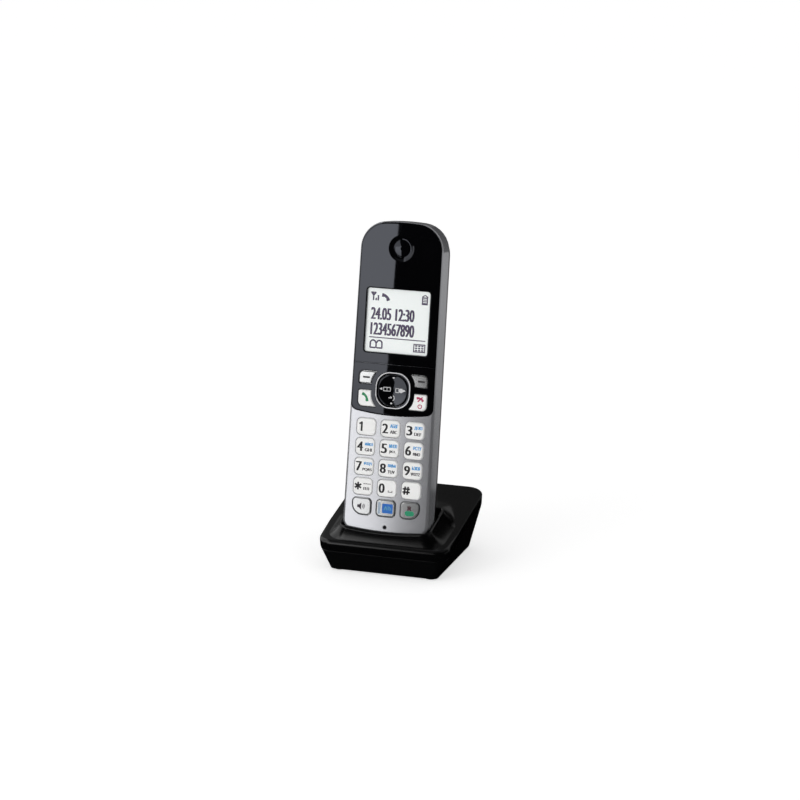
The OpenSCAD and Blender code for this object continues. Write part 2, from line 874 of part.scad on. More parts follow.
module below_slope(drop)
    translate([0, 0, -drop])
        on_slope()
            translate([-far / 2, -far / 2, -far])
                cube([far, far, far]);

// Upper cabinet: band, collar and pocket, with bosses for the screws and slots for the contacts
module cradle_top()
    color([0.07, 0.07, 0.08])
        difference() {
            union() {
                difference() {
                    hull() {
                        cradle_slice(cradle_edge, skin);
                        cradle_slice(0, cradle_edge);
                        cradle_slice(0.3, band_h);
                    }
                    hull() {
                        cradle_slice(cradle_wall, cradle_wall);
                        cradle_slice(cradle_wall, band_h + 1);
                    }
                }
                collar();
                intersection() {
                    pocket(pocket_gap + 1.6, 40);
                    below_slope(0.5);
                }
                intersection() {
                    for (side = [-1, 1])
                        for (spot = screw_spots)
                            translate([side * spot[0], spot[1], pad_h])
                                cylinder(r = 3, h = 30);
                    below_slope(0.5);
                }
            }
            difference() {
                pocket(pocket_gap, 60);
                in_handset()
                    block(0, 3, foot - 1, 12, 16, 2);
            }
            for (side = [-1, 1]) {
                for (spot = screw_spots)
                    translate([side * spot[0], spot[1], pad_h - 1])
                        cylinder(r = screw_r + fit, h = 8);
                in_handset()
                    block(side * terminal_x, back_face - 1, leaf_tip_v, 4.4, 8, 7);
            }
        }

// Lower cabinet: a tapered tray with screw pads, board ribs and the hole for the power inlet
module cradle_bottom()
    color([0.07, 0.07, 0.08])
        difference() {
            union() {
                difference() {
                    hull() {
                        cradle_slice(0.4, band_h + 2 * skin);
                        base_slice(0, foot_t);
                    }
                    hull() {
                        cradle_slice(0.4 + cradle_wall, band_h - 0.5);
                        base_slice(cradle_wall, foot_t + cradle_wall);
                    }
                }
                for (side = [-1, 1]) {
                    for (spot = screw_spots)
                        translate([side * spot[0], spot[1], foot_t])
                            cylinder(r = 4, h = pad_h - foot_t);
                    for (y = board_ribs)
                        translate([side * board_rib_x - 2, y - 1, foot_t + 1])
                            cube([4, 2, cradle_board_z - foot_t - 1]);
                    translate([side * base_w / 2 - 0.9, base_back - 8, foot_t])
                        cube([1.8, 4, 1.6]);
                }
            }
            for (side = [-1, 1])
                for (spot = screw_spots) {
                    translate([side * spot[0], spot[1], 0])
                        cylinder(r = screw_head_r + 0.2, h = foot_t + 1.6);
                    translate([side * spot[0], spot[1], 0])
                        cylinder(r = screw_r + 0.15, h = pad_h + 1);
                }
            translate([0, inlet_y + 4, inlet_z])
                rotate([90, 0, 0])
                    cylinder(r = inlet_r + 0.8, h = 10);
        }

module cradle_board()
    color("darkgreen")
        translate([-cradle_board_w / 2, cradle_board_y, cradle_board_z])
            cube([cradle_board_w, base_back - cradle_wall - 0.6 - cradle_board_y, board_t]);

// Sprung contact leaf: root on the board, a straight leaf behind the pocket, a bent tip in its slot
module contact_leaf(side)
    color("gold")
        in_handset()
            translate([side * terminal_x - 1.6, 0, 0])
                rotate([90, 0, 90])
                    linear_extrude(3.2)
                        polygon([
                            [leaf_d, leaf_root_v],
                            [leaf_d + leaf_t, leaf_root_v],
                            [leaf_d + leaf_t, leaf_tip_v - 2.2],
                            [back_face + fit + leaf_t, leaf_tip_v - 0.3],
                            [back_face + fit + leaf_t, leaf_tip_v + 0.3],
                            [leaf_d - 0.6, leaf_tip_v + 2.4],
                            [leaf_d - 1.1, leaf_tip_v + 2.6],
                            [back_face + fit, leaf_tip_v + 0.6],
                            [back_face + fit, leaf_tip_v - 0.6],
                            [leaf_d, leaf_tip_v - 2.6]
                        ]);

module contact_left()
    contact_leaf(-1);

module contact_right()
    contact_leaf(1);

// Barrel socket on the board, with its centre pin
module power_inlet()
    color("dimgray") {
        difference() {
            union() {
                translate([-inlet_body[0] / 2, inlet_y - 14.2, cradle_board_z + board_t])
                    cube(inlet_body);
                translate([0, inlet_y, inlet_z])
                    rotate([90, 0, 0])
                        cylinder(r = inlet_r + 0.6, h = 4);
            }
            translate([0, inlet_y + 1, inlet_z])
                rotate([90, 0, 0])
                    cylinder(r = inlet_r, h = 11);
        }
        translate([0, inlet_y - 1, inlet_z])
            rotate([90, 0, 0])
                cylinder(r = 0.95, h = 10);
    }

module rubber_feet()
    color("darkslategray")
        for (side = [-1, 1])
            for (end = [-1, 1])
                translate([side * (base_w / 2 - foot_r - 1.4), base_shift + end * (base_l / 2 - foot_r - 1.4), 0])
                    cylinder(r = foot_r, h = foot_t);

module cradle_screws()
    color("darkgray")
        for (side = [-1, 1])
            for (spot = screw_spots)
                translate([side * spot[0], spot[1], 0])
                    difference() {
                        union() {
                            translate([0, 0, foot_t + 0.2])
                                cylinder(r = screw_head_r, h = 1.4);
                            translate([0, 0, foot_t + 1])
                                cylinder(r = screw_r, h = 8.6);
                        }
                        translate([-0.3, -1.3, 0])
                            cube([0.6, 2.6, foot_t + 0.9]);
                        translate([-1.3, -0.3, 0])
                            cube([2.6, 0.6, foot_t + 0.9]);
                    }

front_case();
window_panel();
display_window();
nav_panel();
nav_ring();
nav_key();
nav_pivot();
earpiece_cover();
earpiece_speaker();
lcd_module();
light_guide();
soft_key_left();
soft_key_right();
talk_key();
off_key();
pad_key(0, 4);  // key_1
pad_key(1, 4);  // key_2
pad_key(2, 4);  // key_3
pad_key(0, 3);  // key_4
pad_key(1, 3);  // key_5
pad_key(2, 3);  // key_6
pad_key(0, 2);  // key_7
pad_key(1, 2);  // key_8
pad_key(2, 2);  // key_9
pad_key(0, 1);  // key_star
pad_key(1, 1);  // key_0
pad_key(2, 1);  // key_hash
pad_key(0, 0);  // speaker_key
pad_key(1, 0);  // page_key
pad_key(2, 0);  // recall_key
keypad_mat();
main_board();
rf_shield();
antenna();
microphone();
rear_case();
ringer_speaker();
battery_cover();
batteries();
battery_contacts();
charge_terminals();
handset_screws();
cradle_top();
cradle_bottom();
cradle_board();
contact_left();
contact_right();
power_inlet();
rubber_feet();
cradle_screws();
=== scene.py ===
# Cordless handset standing in its charging cradle. The file follows the phone as it is put
# together: the studio first, then the cradle from its underside up, then the handset from
# its rear case and battery to its front case, panels, display and keys.
import math
import bmesh
import bpy
from mathutils import Matrix, Quaternion, Vector, geometry


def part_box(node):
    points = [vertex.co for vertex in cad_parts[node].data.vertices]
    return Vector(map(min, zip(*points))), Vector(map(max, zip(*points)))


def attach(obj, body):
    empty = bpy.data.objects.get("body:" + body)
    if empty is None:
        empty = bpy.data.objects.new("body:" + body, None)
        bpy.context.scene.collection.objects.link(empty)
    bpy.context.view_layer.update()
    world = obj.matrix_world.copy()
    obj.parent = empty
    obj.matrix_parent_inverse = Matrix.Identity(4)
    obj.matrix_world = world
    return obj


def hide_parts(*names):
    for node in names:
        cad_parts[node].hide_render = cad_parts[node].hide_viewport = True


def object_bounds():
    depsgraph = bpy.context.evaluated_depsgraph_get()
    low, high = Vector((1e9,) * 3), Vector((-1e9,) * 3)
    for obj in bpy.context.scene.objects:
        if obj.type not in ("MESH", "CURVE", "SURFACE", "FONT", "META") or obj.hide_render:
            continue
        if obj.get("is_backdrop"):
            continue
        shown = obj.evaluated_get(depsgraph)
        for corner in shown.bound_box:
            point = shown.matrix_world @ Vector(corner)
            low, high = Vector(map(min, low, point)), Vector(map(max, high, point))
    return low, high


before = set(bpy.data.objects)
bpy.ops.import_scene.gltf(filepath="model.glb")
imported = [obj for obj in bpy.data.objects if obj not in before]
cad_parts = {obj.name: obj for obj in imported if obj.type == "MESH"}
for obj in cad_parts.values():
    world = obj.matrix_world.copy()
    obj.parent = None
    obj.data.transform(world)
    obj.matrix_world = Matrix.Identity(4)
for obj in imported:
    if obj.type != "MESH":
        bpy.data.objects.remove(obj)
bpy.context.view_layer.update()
scene = bpy.context.scene

# --------------------------------------
# Camera: a long lens from a little to the right of the handset and above it,
# so that the upright edges stay almost parallel.
camera_azimuth = math.radians(18.47)
camera_elevation = math.radians(16.1)
camera_distance = 1.63827
camera_target = Vector((0.0, -0.004125, 0.09132))
looking = Vector((-math.sin(camera_azimuth) * math.cos(camera_elevation),
                  math.cos(camera_azimuth) * math.cos(camera_elevation),
                  -math.sin(camera_elevation)))
lens = bpy.data.cameras.new("camera")
lens.lens = 135.0
lens.sensor_width = 36.0
camera = bpy.data.objects.new("camera", lens)
camera.location = camera_target - looking * camera_distance
camera.rotation_mode = "QUATERNION"
camera.rotation_quaternion = looking.to_track_quat("-Z", "Y")
scene.collection.objects.link(camera)
scene.camera = camera
scene.view_settings.view_transform = "Standard"


# --------------------------------------
# Studio: a white table and surround, a narrow softbox at the front left and a
# broad fill beside it. The cards all round are seen by mirrors only; the straight
# edge between the dark and the light one runs down the middle of the panels.
class Wire:
    """The output of a node. Sums, products and comparisons of wires add Math nodes."""

    def __init__(self, tree, socket):
        self.tree = tree
        self.socket = socket

    def maths(self, operation, other):
        node = self.tree.nodes.new("ShaderNodeMath")
        node.operation = operation
        plug(self.tree, node.inputs[0], self)
        plug(self.tree, node.inputs[1], other)
        return Wire(self.tree, node.outputs[0])

    def __add__(self, other):
        return self.maths("ADD", other)

    def __mul__(self, other):
        return self.maths("MULTIPLY", other)

    def __gt__(self, other):
        return self.maths("GREATER_THAN", other)

    __radd__, __rmul__ = __add__, __mul__


def plug(tree, socket, value):
    """Links a wire to a socket, or sets the socket to a plain value."""
    if isinstance(value, Wire):
        tree.links.new(value.socket, socket)
    else:
        socket.default_value = value


class Sheet:
    """A node tree being written: one method adds any node and returns its output."""

    def __init__(self, tree):
        self.tree = tree

    def add(self, kind, sockets=None, out=0, **settings):
        node = self.tree.nodes.new(kind)
        for name, value in settings.items():
            setattr(node, name, value)
        for key, value in (sockets or {}).items():
            named = [s for s in node.inputs if s.identifier == key]
            plug(self.tree, named[0] if named else node.inputs[key], value)
        named = [s for s in node.outputs if s.identifier == out]
        return Wire(self.tree, named[0] if named else node.outputs[out])


def backdrop(name, corners):
    """A flat sheet of the studio; its material's sheet, and the socket for its surface."""
    mesh = bpy.data.meshes.new(name)
    mesh.from_pydata(corners, [], [list(range(len(corners)))])
    holder = bpy.data.objects.new(name, mesh)
    scene.collection.objects.link(holder)
    holder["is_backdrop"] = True
    paint = bpy.data.materials.new(name + "_paint")
    paint.use_nodes = True
    mesh.materials.append(paint)
    tree = paint.node_tree
    tree.nodes.remove(tree.nodes["Principled BSDF"])
    return holder, Sheet(tree), tree.nodes["Material Output"].inputs["Surface"]


def direct(sheet):
    """One on rays from the camera, off a mirror or through a clear piece, none on others."""
    paths = sheet.add("ShaderNodeLightPath").socket.node.outputs
    seen, mirrored, through = [Wire(sheet.tree, paths["Is %s Ray" % kind])
                               for kind in ("Camera", "Glossy", "Transmission")]
    return seen + mirrored + through


def level(z, x0, x1, y0, y1):
    return [(x0, y0, z), (x1, y0, z), (x1, y1, z), (x0, y1, z)]


def upright(y, x0, x1, z0, z1):
    return [(x0, y, z0), (x1, y, z0), (x1, y, z1), (x0, y, z1)]


white = (1, 1, 1, 1)
ambient, table_glow = 0.55, 0.56
reach = 6
table, sheet, end = backdrop("table", level(0, -reach, reach, -reach, reach))
matt = sheet.add("ShaderNodeBsdfDiffuse", {"Color": (0.8, 0.8, 0.8, 1)})
glow = sheet.add("ShaderNodeEmission", {"Color": white, "Strength": direct(sheet) * table_glow})
plug(sheet.tree, end, sheet.add("ShaderNodeAddShader", {0: matt, 1: glow}))

world = bpy.data.worlds.new("surround")
world.use_nodes = True
scene.world = world
sheet = Sheet(world.node_tree)
background = world.node_tree.nodes["Background"]
background.inputs["Color"].default_value = white
plug(sheet.tree, background.inputs["Strength"], ambient + direct(sheet) * (1 - ambient))

edge_x, lamp_y = -0.2010, -0.62


def lamp(name, x, z, width, height, strength, roll=0.0):
    """A softbox that faces the phone squarely; strength is its plain radiance."""
    light = bpy.data.lights.new(name, "AREA")
    light.shape = "RECTANGLE"
    light.size = width
    light.size_y = height
    light.energy = strength * math.pi * width * height
    holder = bpy.data.objects.new(name, light)
    holder.location = (x, lamp_y, z)
    holder.rotation_mode = "QUATERNION"
    holder.rotation_quaternion = (Vector((0, -lamp_y, 0)).to_track_quat("-Z", "Y")
                                  @ Quaternion((0, 0, 1), math.radians(roll)))
    scene.collection.objects.link(holder)
    holder.visible_camera = False
    return holder


lamp("softbox", edge_x - 0.09, 0.14, 0.18, 0.30, 2.0, roll=2.3)
lamp("fill", edge_x - 0.30, 0.16, 0.60, 0.70, 2.1).visible_glossy = False


def card(name, corners, greys, axis="Z", places=(0.0, 1.0)):
    """A card that only mirrors see, with a grey that changes along an axis between two places."""
    holder, sheet, end = backdrop(name, corners)
    holder.visible_camera = False
    holder.visible_diffuse = False
    holder.visible_shadow = False
    place = sheet.add("ShaderNodeTexCoord", None, "Object")
    along = sheet.add("ShaderNodeSeparateXYZ", {"Vector": place}, axis)
    grey = sheet.add("ShaderNodeMapRange", {
        "Value": along, "From Min": places[0], "From Max": places[1],
        "To Min": greys[0], "To Max": greys[1]})
    plug(sheet.tree, end, sheet.add("ShaderNodeEmission", {"Color": white, "Strength": grey}))


left_x, right_x, floor_z, top_z = -1.2, 1.5, -0.001, 1.6
front_y, behind_y, rear_y = -0.63, -0.632, 0.75
low_edge, bend_edge, high_edge, bend_z = edge_x + 0.0021, edge_x - 0.0093, -0.86, 0.285
black = (0.0, 0.0)
edge_line = [(low_edge, floor_z), (bend_edge, bend_z), (high_edge, top_z)]


def beside_edge(y, x, first, last):
    """Corners of a card between the mirrored edge and an upright side, over some of its bends."""
    line = edge_line[first:last + 1]
    return [(x, y, line[0][1])] + [(edge, y, z) for edge, z in line] + [(x, y, line[-1][1])]


card("front_card", beside_edge(front_y, right_x, 0, 2), black)
card("left_card", beside_edge(behind_y, left_x, 0, 1), (0.0, 0.8), "Z", (0.13, 0.24))
card("upper_left_card", beside_edge(behind_y, left_x, 1, 2), (1.5, 1.5))
card("ceiling_card", level(top_z, left_x, right_x, behind_y, rear_y), (1.5, 0.12),
     "X", (-0.92, -0.86))
low_z, near_x, half_y = 0.0004, -0.9, 0.12
card("table_card", level(low_z, near_x, right_x, front_y, half_y), black)
card("far_table_card", level(low_z, near_x, right_x, half_y, rear_y), (0.24, 0.42),
     "Y", (half_y, 0.6))
card("rear_card", upright(rear_y, left_x, -0.1, 0.0, top_z), (0.25, 0.07), "X", (-0.40, -0.33))
card("middle_card", upright(rear_y, -0.1, 0.3, 0.0, top_z), (0.0, 0.4), "Z", (0.36, 0.42))
card("side_card", upright(rear_y, 0.3, right_x, 0.0, top_z), (0.38, 0.5), "Z", (0.0, 0.2))
card("flag", upright(0.045, 0.047, 0.14, 0.0005, 0.08), black)
card("right_card", [(right_x, front_y, 0.0), (right_x, rear_y, 0.0), (right_x, rear_y, top_z),
                    (right_x, front_y, top_z)], (0.4, 0.0), "Z", (0.0, 0.6))


# --------------------------------------
# Cradle underside: rubber feet and four cross-head screws.
# The feet are soft black discs pressed into the base; the screws sit in deep
# round recesses and hold the two cabinets together.
mm = 0.001


class Look:
    """A material being written: its Principled shader, and noises in the piece's own space."""

    def __init__(self, name):
        self.material = bpy.data.materials.new(name)
        self.material.use_nodes = True
        self.sheet = Sheet(self.material.node_tree)
        self.shader = self.sheet.tree.nodes["Principled BSDF"]
        self.place = self.sheet.add("ShaderNodeTexCoord", None, "Object")

    def noise(self, scale, detail=2.0):
        return self.sheet.add("ShaderNodeTexNoise", {"Vector": self.place, "Scale": scale,
                                                     "Detail": detail})

    def set(self, name, value):
        plug(self.sheet.tree, self.shader.inputs[name], value)

    def colour(self, factor, dark, light):
        """Blends the colour from a dark to a light one by a factor."""
        tint = self.sheet.add("ShaderNodeMix", {"Factor_Float": factor, "A_Color": (*dark, 1),
                                                "B_Color": (*light, 1)},
                              "Result_Color", data_type="RGBA")
        self.set("Base Color", tint)
        return tint

    def bump(self, height, strength, distance):
        self.set("Normal", self.sheet.add("ShaderNodeBump", {
            "Strength": strength, "Distance": distance, "Height": height}, "Normal"))

    def lean_left(self, amount):
        """Turns the shine a little to the left, as flakes laid askew do."""
        normal = self.sheet.add("ShaderNodeNewGeometry", None, "Normal")
        for operation, other in (("ADD", {1: (-amount, 0, 0)}), ("NORMALIZE", {})):
            normal = self.sheet.add("ShaderNodeVectorMath", {0: normal, **other},
                                    operation=operation)
        self.set("Normal", normal)


def surface(name, colour, roughness, metallic=0.0, specular=0.5, mottle=0.1, grain=0.3, bump=0.0):
    """Moulded, painted or plated surface: slow mottling, uneven gloss and a fine grain in mm."""
    look = Look(name)
    fine = look.noise(1 / (grain * mm))
    look.colour(look.noise(70.0, 3.0), [c * (1 - mottle) for c in colour],
                [min(1.0, c * (1 + mottle)) for c in colour])
    look.set("Roughness", roughness * (0.9 + 0.2 * fine))
    look.set("Metallic", metallic)
    look.set("Specular IOR Level", specular)
    if bump:
        look.bump(fine, bump, 0.03 * mm)
    return look.material


def geometry_sheet(name, inputs):
    """A Geometry Nodes tree with named number inputs and a geometry output."""
    tree = bpy.data.node_groups.new(name, "GeometryNodeTree")
    tree.interface.new_socket("Geometry", in_out="OUTPUT", socket_type="NodeSocketGeometry")
    for label, value in inputs.items():
        kind = "NodeSocketInt" if isinstance(value, int) else "NodeSocketFloat"
        tree.interface.new_socket(label, in_out="INPUT", socket_type=kind).default_value = value
    entry = tree.nodes.new("NodeGroupInput")
    return Sheet(tree), {label: Wire(tree, entry.outputs[label]) for label in inputs}


def joined(sheet, first, second):
    both = sheet.add("GeometryNodeJoinGeometry", {0: first})
    sheet.tree.links.new(second.socket, both.socket.node.inputs[0])
    return both


def raised(sheet, shape, height):
    """A shape of a Geometry Nodes tree, moved up."""
    move = sheet.add("ShaderNodeCombineXYZ", {"Z": height})
    return sheet.add("GeometryNodeTransform", {"Geometry": shape, "Translation": move})


def disc(sheet, vertices, radius, depth):
    return sheet.add("GeometryNodeMeshCylinder", {
        "Vertices": vertices, "Radius": radius, "Depth": depth}, fill_type="NGON")


def close_sheet(sheet, shape, material):
    """Ends a Geometry Nodes tree: real geometry with its material."""
    real = sheet.add("GeometryNodeRealizeInstances", {"Geometry": shape})
    dressed = sheet.add("GeometryNodeSetMaterial", {"Geometry": real, "Material": material})
    plug(sheet.tree, sheet.tree.nodes.new("NodeGroupOutput").inputs["Geometry"], dressed)


def at_corners(sheet, given, shape, material):
    """Ends a tree with a copy of a shape at each corner of its reach."""
    spots = sheet.add("GeometryNodeMeshGrid", {
        "Size X": given["Reach X"], "Size Y": given["Reach Y"], "Vertices X": 2, "Vertices Y": 2})
    copies = sheet.add("GeometryNodeInstanceOnPoints", {"Points": spots, "Instance": shape})
    close_sheet(sheet, copies, material)


def settle(piece):
    """Applies a piece's modifiers."""
    graph = bpy.context.evaluated_depsgraph_get()
    mesh = bpy.data.meshes.new_from_object(piece.evaluated_get(graph))
    piece.modifiers.clear()
    piece.data = mesh


def placed(name, mesh, place=None):
    """A new piece of a mesh."""
    if place is not None:
        mesh.transform(place)
    piece = bpy.data.objects.new(name, mesh)
    scene.collection.objects.link(piece)
    return piece


def grown(name, tree, values):
    """Runs a Geometry Nodes tree, with some other inputs, and keeps the result as a plain mesh."""
    piece = placed(name, bpy.data.meshes.new(name))
    modifier = piece.modifiers.new("grow", "NODES")
    modifier.node_group = tree
    for item in tree.interface.items_tree:
        if item.in_out == "INPUT" and item.name in values:
            modifier[item.identifier] = values[item.name]
    piece.update_tag()
    settle(piece)
    return piece


def bevelled(piece, width, angle=None):
    """Rounds a piece's edges, or only those sharper than an angle."""
    modifier = piece.modifiers.new("edge", "BEVEL")
    modifier.width = width * mm
    modifier.segments = 2
    if angle:
        modifier.limit_method = "ANGLE"
        modifier.angle_limit = math.radians(angle)
    settle(piece)


def tidy(piece, angle=32.0):
    """Merges doubles, turns the faces outward and smooths them up to an angle."""
    work = bmesh.new()
    work.from_mesh(piece.data)
    bmesh.ops.remove_doubles(work, verts=work.verts, dist=0.002 * mm)
    bmesh.ops.dissolve_degenerate(work, edges=work.edges, dist=0.001 * mm)
    bmesh.ops.recalc_face_normals(work, faces=work.faces)
    work.to_mesh(piece.data)
    work.free()
    piece.data.shade_smooth()
    piece.data.set_sharp_from_angle(angle=math.radians(angle))
    piece.modifiers.new("normals", "WEIGHTED_NORMAL").keep_sharp = True
    settle(piece)
    return piece


def own(piece, body, node=None, material=None):
    """Gives a piece its body, the node it stands for and its material."""
    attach(piece, body)
    if node:
        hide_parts(node)
    if material:
        piece.data.materials.clear()
        piece.data.materials.append(material)


foot_rubber = surface("foot_rubber", (0.022, 0.022, 0.022), 0.75, mottle=0.06, grain=0.2, bump=0.5)
screw_steel = surface("screw_steel", (0.42, 0.42, 0.43), 0.3, metallic=1.0, mottle=0.06, bump=0.1)
feet_low, feet_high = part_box("rubber_feet")
pad_r = 3.5 * mm
sheet, given = geometry_sheet("foot_set", {
    "Reach X": feet_high.x - feet_low.x - 2 * pad_r,
    "Reach Y": feet_high.y - feet_low.y - 2 * pad_r,
    "Radius": pad_r, "Thickness": feet_high.z - feet_low.z})
at_corners(sheet, given, disc(sheet, 48, given["Radius"], given["Thickness"]), foot_rubber)
feet = grown("rubber_foot_set", sheet.tree, {})
feet.data.transform(Matrix.Translation((feet_low + feet_high) / 2))
bevelled(feet, 0.15)
own(tidy(feet), "cradle", "rubber_feet")

head_r, head_drop = 2.2 * mm, 0.7 * mm
screw_low, screw_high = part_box("cradle_screws")
sheet, given = geometry_sheet("screw_set", {
    "Reach X": screw_high.x - screw_low.x - 2 * head_r,
    "Reach Y": screw_high.y - screw_low.y - 2 * head_r,
    "Head Radius": head_r, "Head Height": 0.0014, "Shaft Radius": 0.0011, "Length": 0.0086,
    "Slot Width": 0.0006, "Slot Depth": 0.0007})
arms = []
for long_way, short_way in (("X", "Y"), ("Y", "X")):
    arm_size = sheet.add("ShaderNodeCombineXYZ", {
        long_way: given["Head Radius"] * 1.25, short_way: given["Slot Width"],
        "Z": given["Slot Depth"] * 2})
    arms.append(sheet.add("GeometryNodeMeshCube", {"Size": arm_size}))
cross = raised(sheet, joined(sheet, *arms), given["Head Height"] * -0.5)
head = disc(sheet, 40, given["Head Radius"], given["Head Height"])
head = sheet.add("GeometryNodeMeshBoolean", {"Mesh 1": head, "Mesh 2": cross},
                 operation="DIFFERENCE")
shaft = disc(sheet, 24, given["Shaft Radius"], given["Length"])
shaft = raised(sheet, shaft, given["Length"] * 0.5)
at_corners(sheet, given, joined(sheet, head, shaft), screw_steel)
base_screws = grown("base_screw_set", sheet.tree, {})
screw_spot = (screw_low + screw_high) / 2
screw_spot.z = screw_low.z + head_drop
base_screws.data.transform(Matrix.Translation(screw_spot))
own(tidy(base_screws), "cradle", "cradle_screws")


# --------------------------------------
# Lower cabinet: a tapered tray moulded in black, with a fine spark texture.
# Its sides lean out to the band of the upper cabinet; the back wall leans most.
cradle_w, cradle_l = 75.0, 73.9
front_h, back_h = 17.6, 32.2
slope = math.atan2(back_h - front_h, cradle_l)
slope_l = cradle_l / math.cos(slope)
slope_frame = (Matrix.Translation((0, -cradle_l / 2 * mm, front_h * mm))
               @ Matrix.Rotation(slope, 4, "X"))
base_w, base_l, base_shift, base_z, base_edge = 62.1, 62.2, -3.0, 0.6, 0.8
band_h, tray_wall, rim_wall = 6.0, 1.8, 2.3
base_black = surface("base_black", (0.0022, 0.0022, 0.0026), 0.4, specular=0.3, bump=0.25)


def arc(centre, radius, start, end, steps):
    """Points along an arc, in degrees."""
    turns = [math.radians(start + (end - start) * i / steps) for i in range(steps + 1)]
    return [(centre[0] + radius * math.cos(t), centre[1] + radius * math.sin(t)) for t in turns]


def circle(centre, radius, steps):
    """Points all the way round."""
    return arc(centre, radius, 0, 360 - 360 / steps, steps - 1)


def rounded(w, h, radii, centre=(0.0, 0.0), steps=10):
    """Rounded rectangle; radii run from the top right corner anticlockwise, or are all one."""
    radii = radii if isinstance(radii, list) else [radii] * 4
    points = []
    for (sx, sy), r, start in zip(((1, 1), (-1, 1), (-1, -1), (1, -1)), radii, (0, 90, 180, 270)):
        corner = (centre[0] + sx * (w / 2 - r), centre[1] + sy * (h / 2 - r))
        points += arc(corner, r, start, start + 90, steps)
    return points


def at_depth(outline, depth):
    """A ring at a depth behind a plane."""
    return [(x, v, -depth) for x, v in outline]


def loft(name, rings, place=None, closed=True):
    """A skin through rings of points in mm, closed with a face over each end."""
    work = bmesh.new()
    rows = [[work.verts.new(Vector(p) * mm) for p in ring] for ring in rings]
    count = len(rows[0])
    for low_row, high_row in zip(rows, rows[1:]):
        for i in range(count):
            j = (i + 1) % count
            work.faces.new((low_row[i], low_row[j], high_row[j], high_row[i]))
    if closed:
        work.faces.new(rows[0])
        work.faces.new(rows[-1])
    bmesh.ops.recalc_face_normals(work, faces=work.faces)
    mesh = bpy.data.meshes.new(name)
    work.to_mesh(mesh)
    work.free()
    return placed(name, mesh, place)


def carve(piece, cutters, operation="DIFFERENCE"):
    """Cuts pieces out of a piece, or joins them to it, with the exact solver."""
    for cutter in cutters:
        modifier = piece.modifiers.new("carve", "BOOLEAN")
        modifier.operation = operation
        modifier.solver = "EXACT"
        modifier.object = cutter
    settle(piece)
    for cutter in cutters:
        bpy.data.objects.remove(cutter)
    return piece


def bar(name, centre, radius, low, high, place=None):
    """A round bar along its own third axis."""
    return loft(name, [at_depth(circle(centre, radius, 40), -z) for z in (low, high)], place)


def lowered(outline, drop):
    """An outline in the cradle's sloping plane, lowered straight down."""
    return [(x, s - drop * math.sin(slope), -drop * math.cos(slope)) for x, s in outline]


def plan(inset):
    """The cradle's plan in its sloping plane, drawn in by an inset."""
    radii = [r - 0.8 * inset for r in (9.9, 9.9, 7.5, 7.5)]
    return rounded(cradle_w - 2 * inset, slope_l - 2 * inset, radii, (0, slope_l / 2))


def base_ring(inset, z):
    """The underside's outline in the world, as points of the sloping frame."""
    back = slope_frame.inverted()
    outline = rounded(base_w - 2 * inset, base_l - 2 * inset, 3 - inset / 2, (0, base_shift))
    return [tuple(back @ Vector((x * mm, y * mm, z * mm)) / mm) for x, y in outline]


def rounding(radius, steps, until=90):
    """Pairs of inset and depth along a rounded edge."""
    angles = [math.radians(until * k / steps) for k in range(steps + 1)]
    return [(radius * (1 - math.sin(t)), radius * (1 - math.cos(t))) for t in angles]


foot_rings = [base_ring(inset, base_z + rise) for inset, rise in rounding(base_edge, 3)]
rim_rings = [lowered(plan(0.55), band_h + 0.35), lowered(plan(0.8), band_h)]
tray = loft("cradle_tray", foot_rings + rim_rings, slope_frame)
hollow_rings = [base_ring(tray_wall, base_z + tray_wall)]
hollow_rings += [lowered(plan(rim_wall), band_h + over) for over in (0.5, -0.5)]
hollow = loft("hollow", hollow_rings, slope_frame)
socket_low, socket_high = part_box("power_inlet")
socket_axis = (Matrix.Translation((0, 0, (socket_low.z + socket_high.z) / 2))
               @ Matrix.Rotation(math.radians(-90), 4, "X"))
socket_y = socket_high.y / mm
socket_r, screw_spots = 3.6, [(x, y) for x in (-22, 22) for y in (-13, 17)]
cutters = [hollow, bar("socket_hole", (0, 0), socket_r, socket_y - 6, socket_y + 8, socket_axis)]
for radius, low, high in ((2.4, -1, 2.2), (1.25, 2.1, 3.5)):
    cutters += [bar("recess", spot, radius, low, high) for spot in screw_spots]
carve(tray, cutters)
own(tidy(tray), "cradle", "cradle_bottom", base_black)


# --------------------------------------
# Upper cabinet: one black moulding with a band, a sloping top, a collar that
# sweeps up around the handset, and the pocket that the handset stands in.
# It is drawn as one skin: down the outside, over the crest, into the pocket.
lean = math.radians(11.0)
hand = Matrix(((1, 0, 0, 0),
               (0, math.sin(lean), -math.cos(lean), -30.70 * mm),
               (0, math.cos(lean), math.sin(lean), 26.40 * mm),
               (0, 0, 0, 1)))
face_lean = lean + slope
mic_s, mic_h = 7.84, 7.42
pocket_x, pocket_front, pocket_back = 24.8, -0.4, 23.7
crest_front, crest_back, lip_t, lip_drop = 7.2, 8.0, 1.9, 0.9
climb_from, climb_over = 6, 28
scoop_low, scoop_r, scoop_end, scoop_lift, scoop_blend = -2.4, 150.0, 8.5, 0.5, 0.35
front_from, front_over = 22.0, 16.0
collar_foot = [(24, 11.6, 9.2), (30.5, 27.8, 3), (19.5, 49.4, 6.3)]
centre_s = 18.0
floor_v, skirt_h, skirt_t = -5.2, -1.8, 1.6
side_edge, front_edge = 0.5, 2.1
black_case = surface("black_case", (0.0016, 0.0016, 0.0019), 0.22, grain=0.25, bump=0.06)


def spread(corners):
    """Outline stretched over round corners on both sides: half width, distance up, radius."""
    cloud = []
    for x, s, r in corners:
        for side in (-1, 1):
            cloud += circle((side * x, s), r, 36)
    return [cloud[i] for i in reversed(geometry.convex_hull_2d(cloud))]


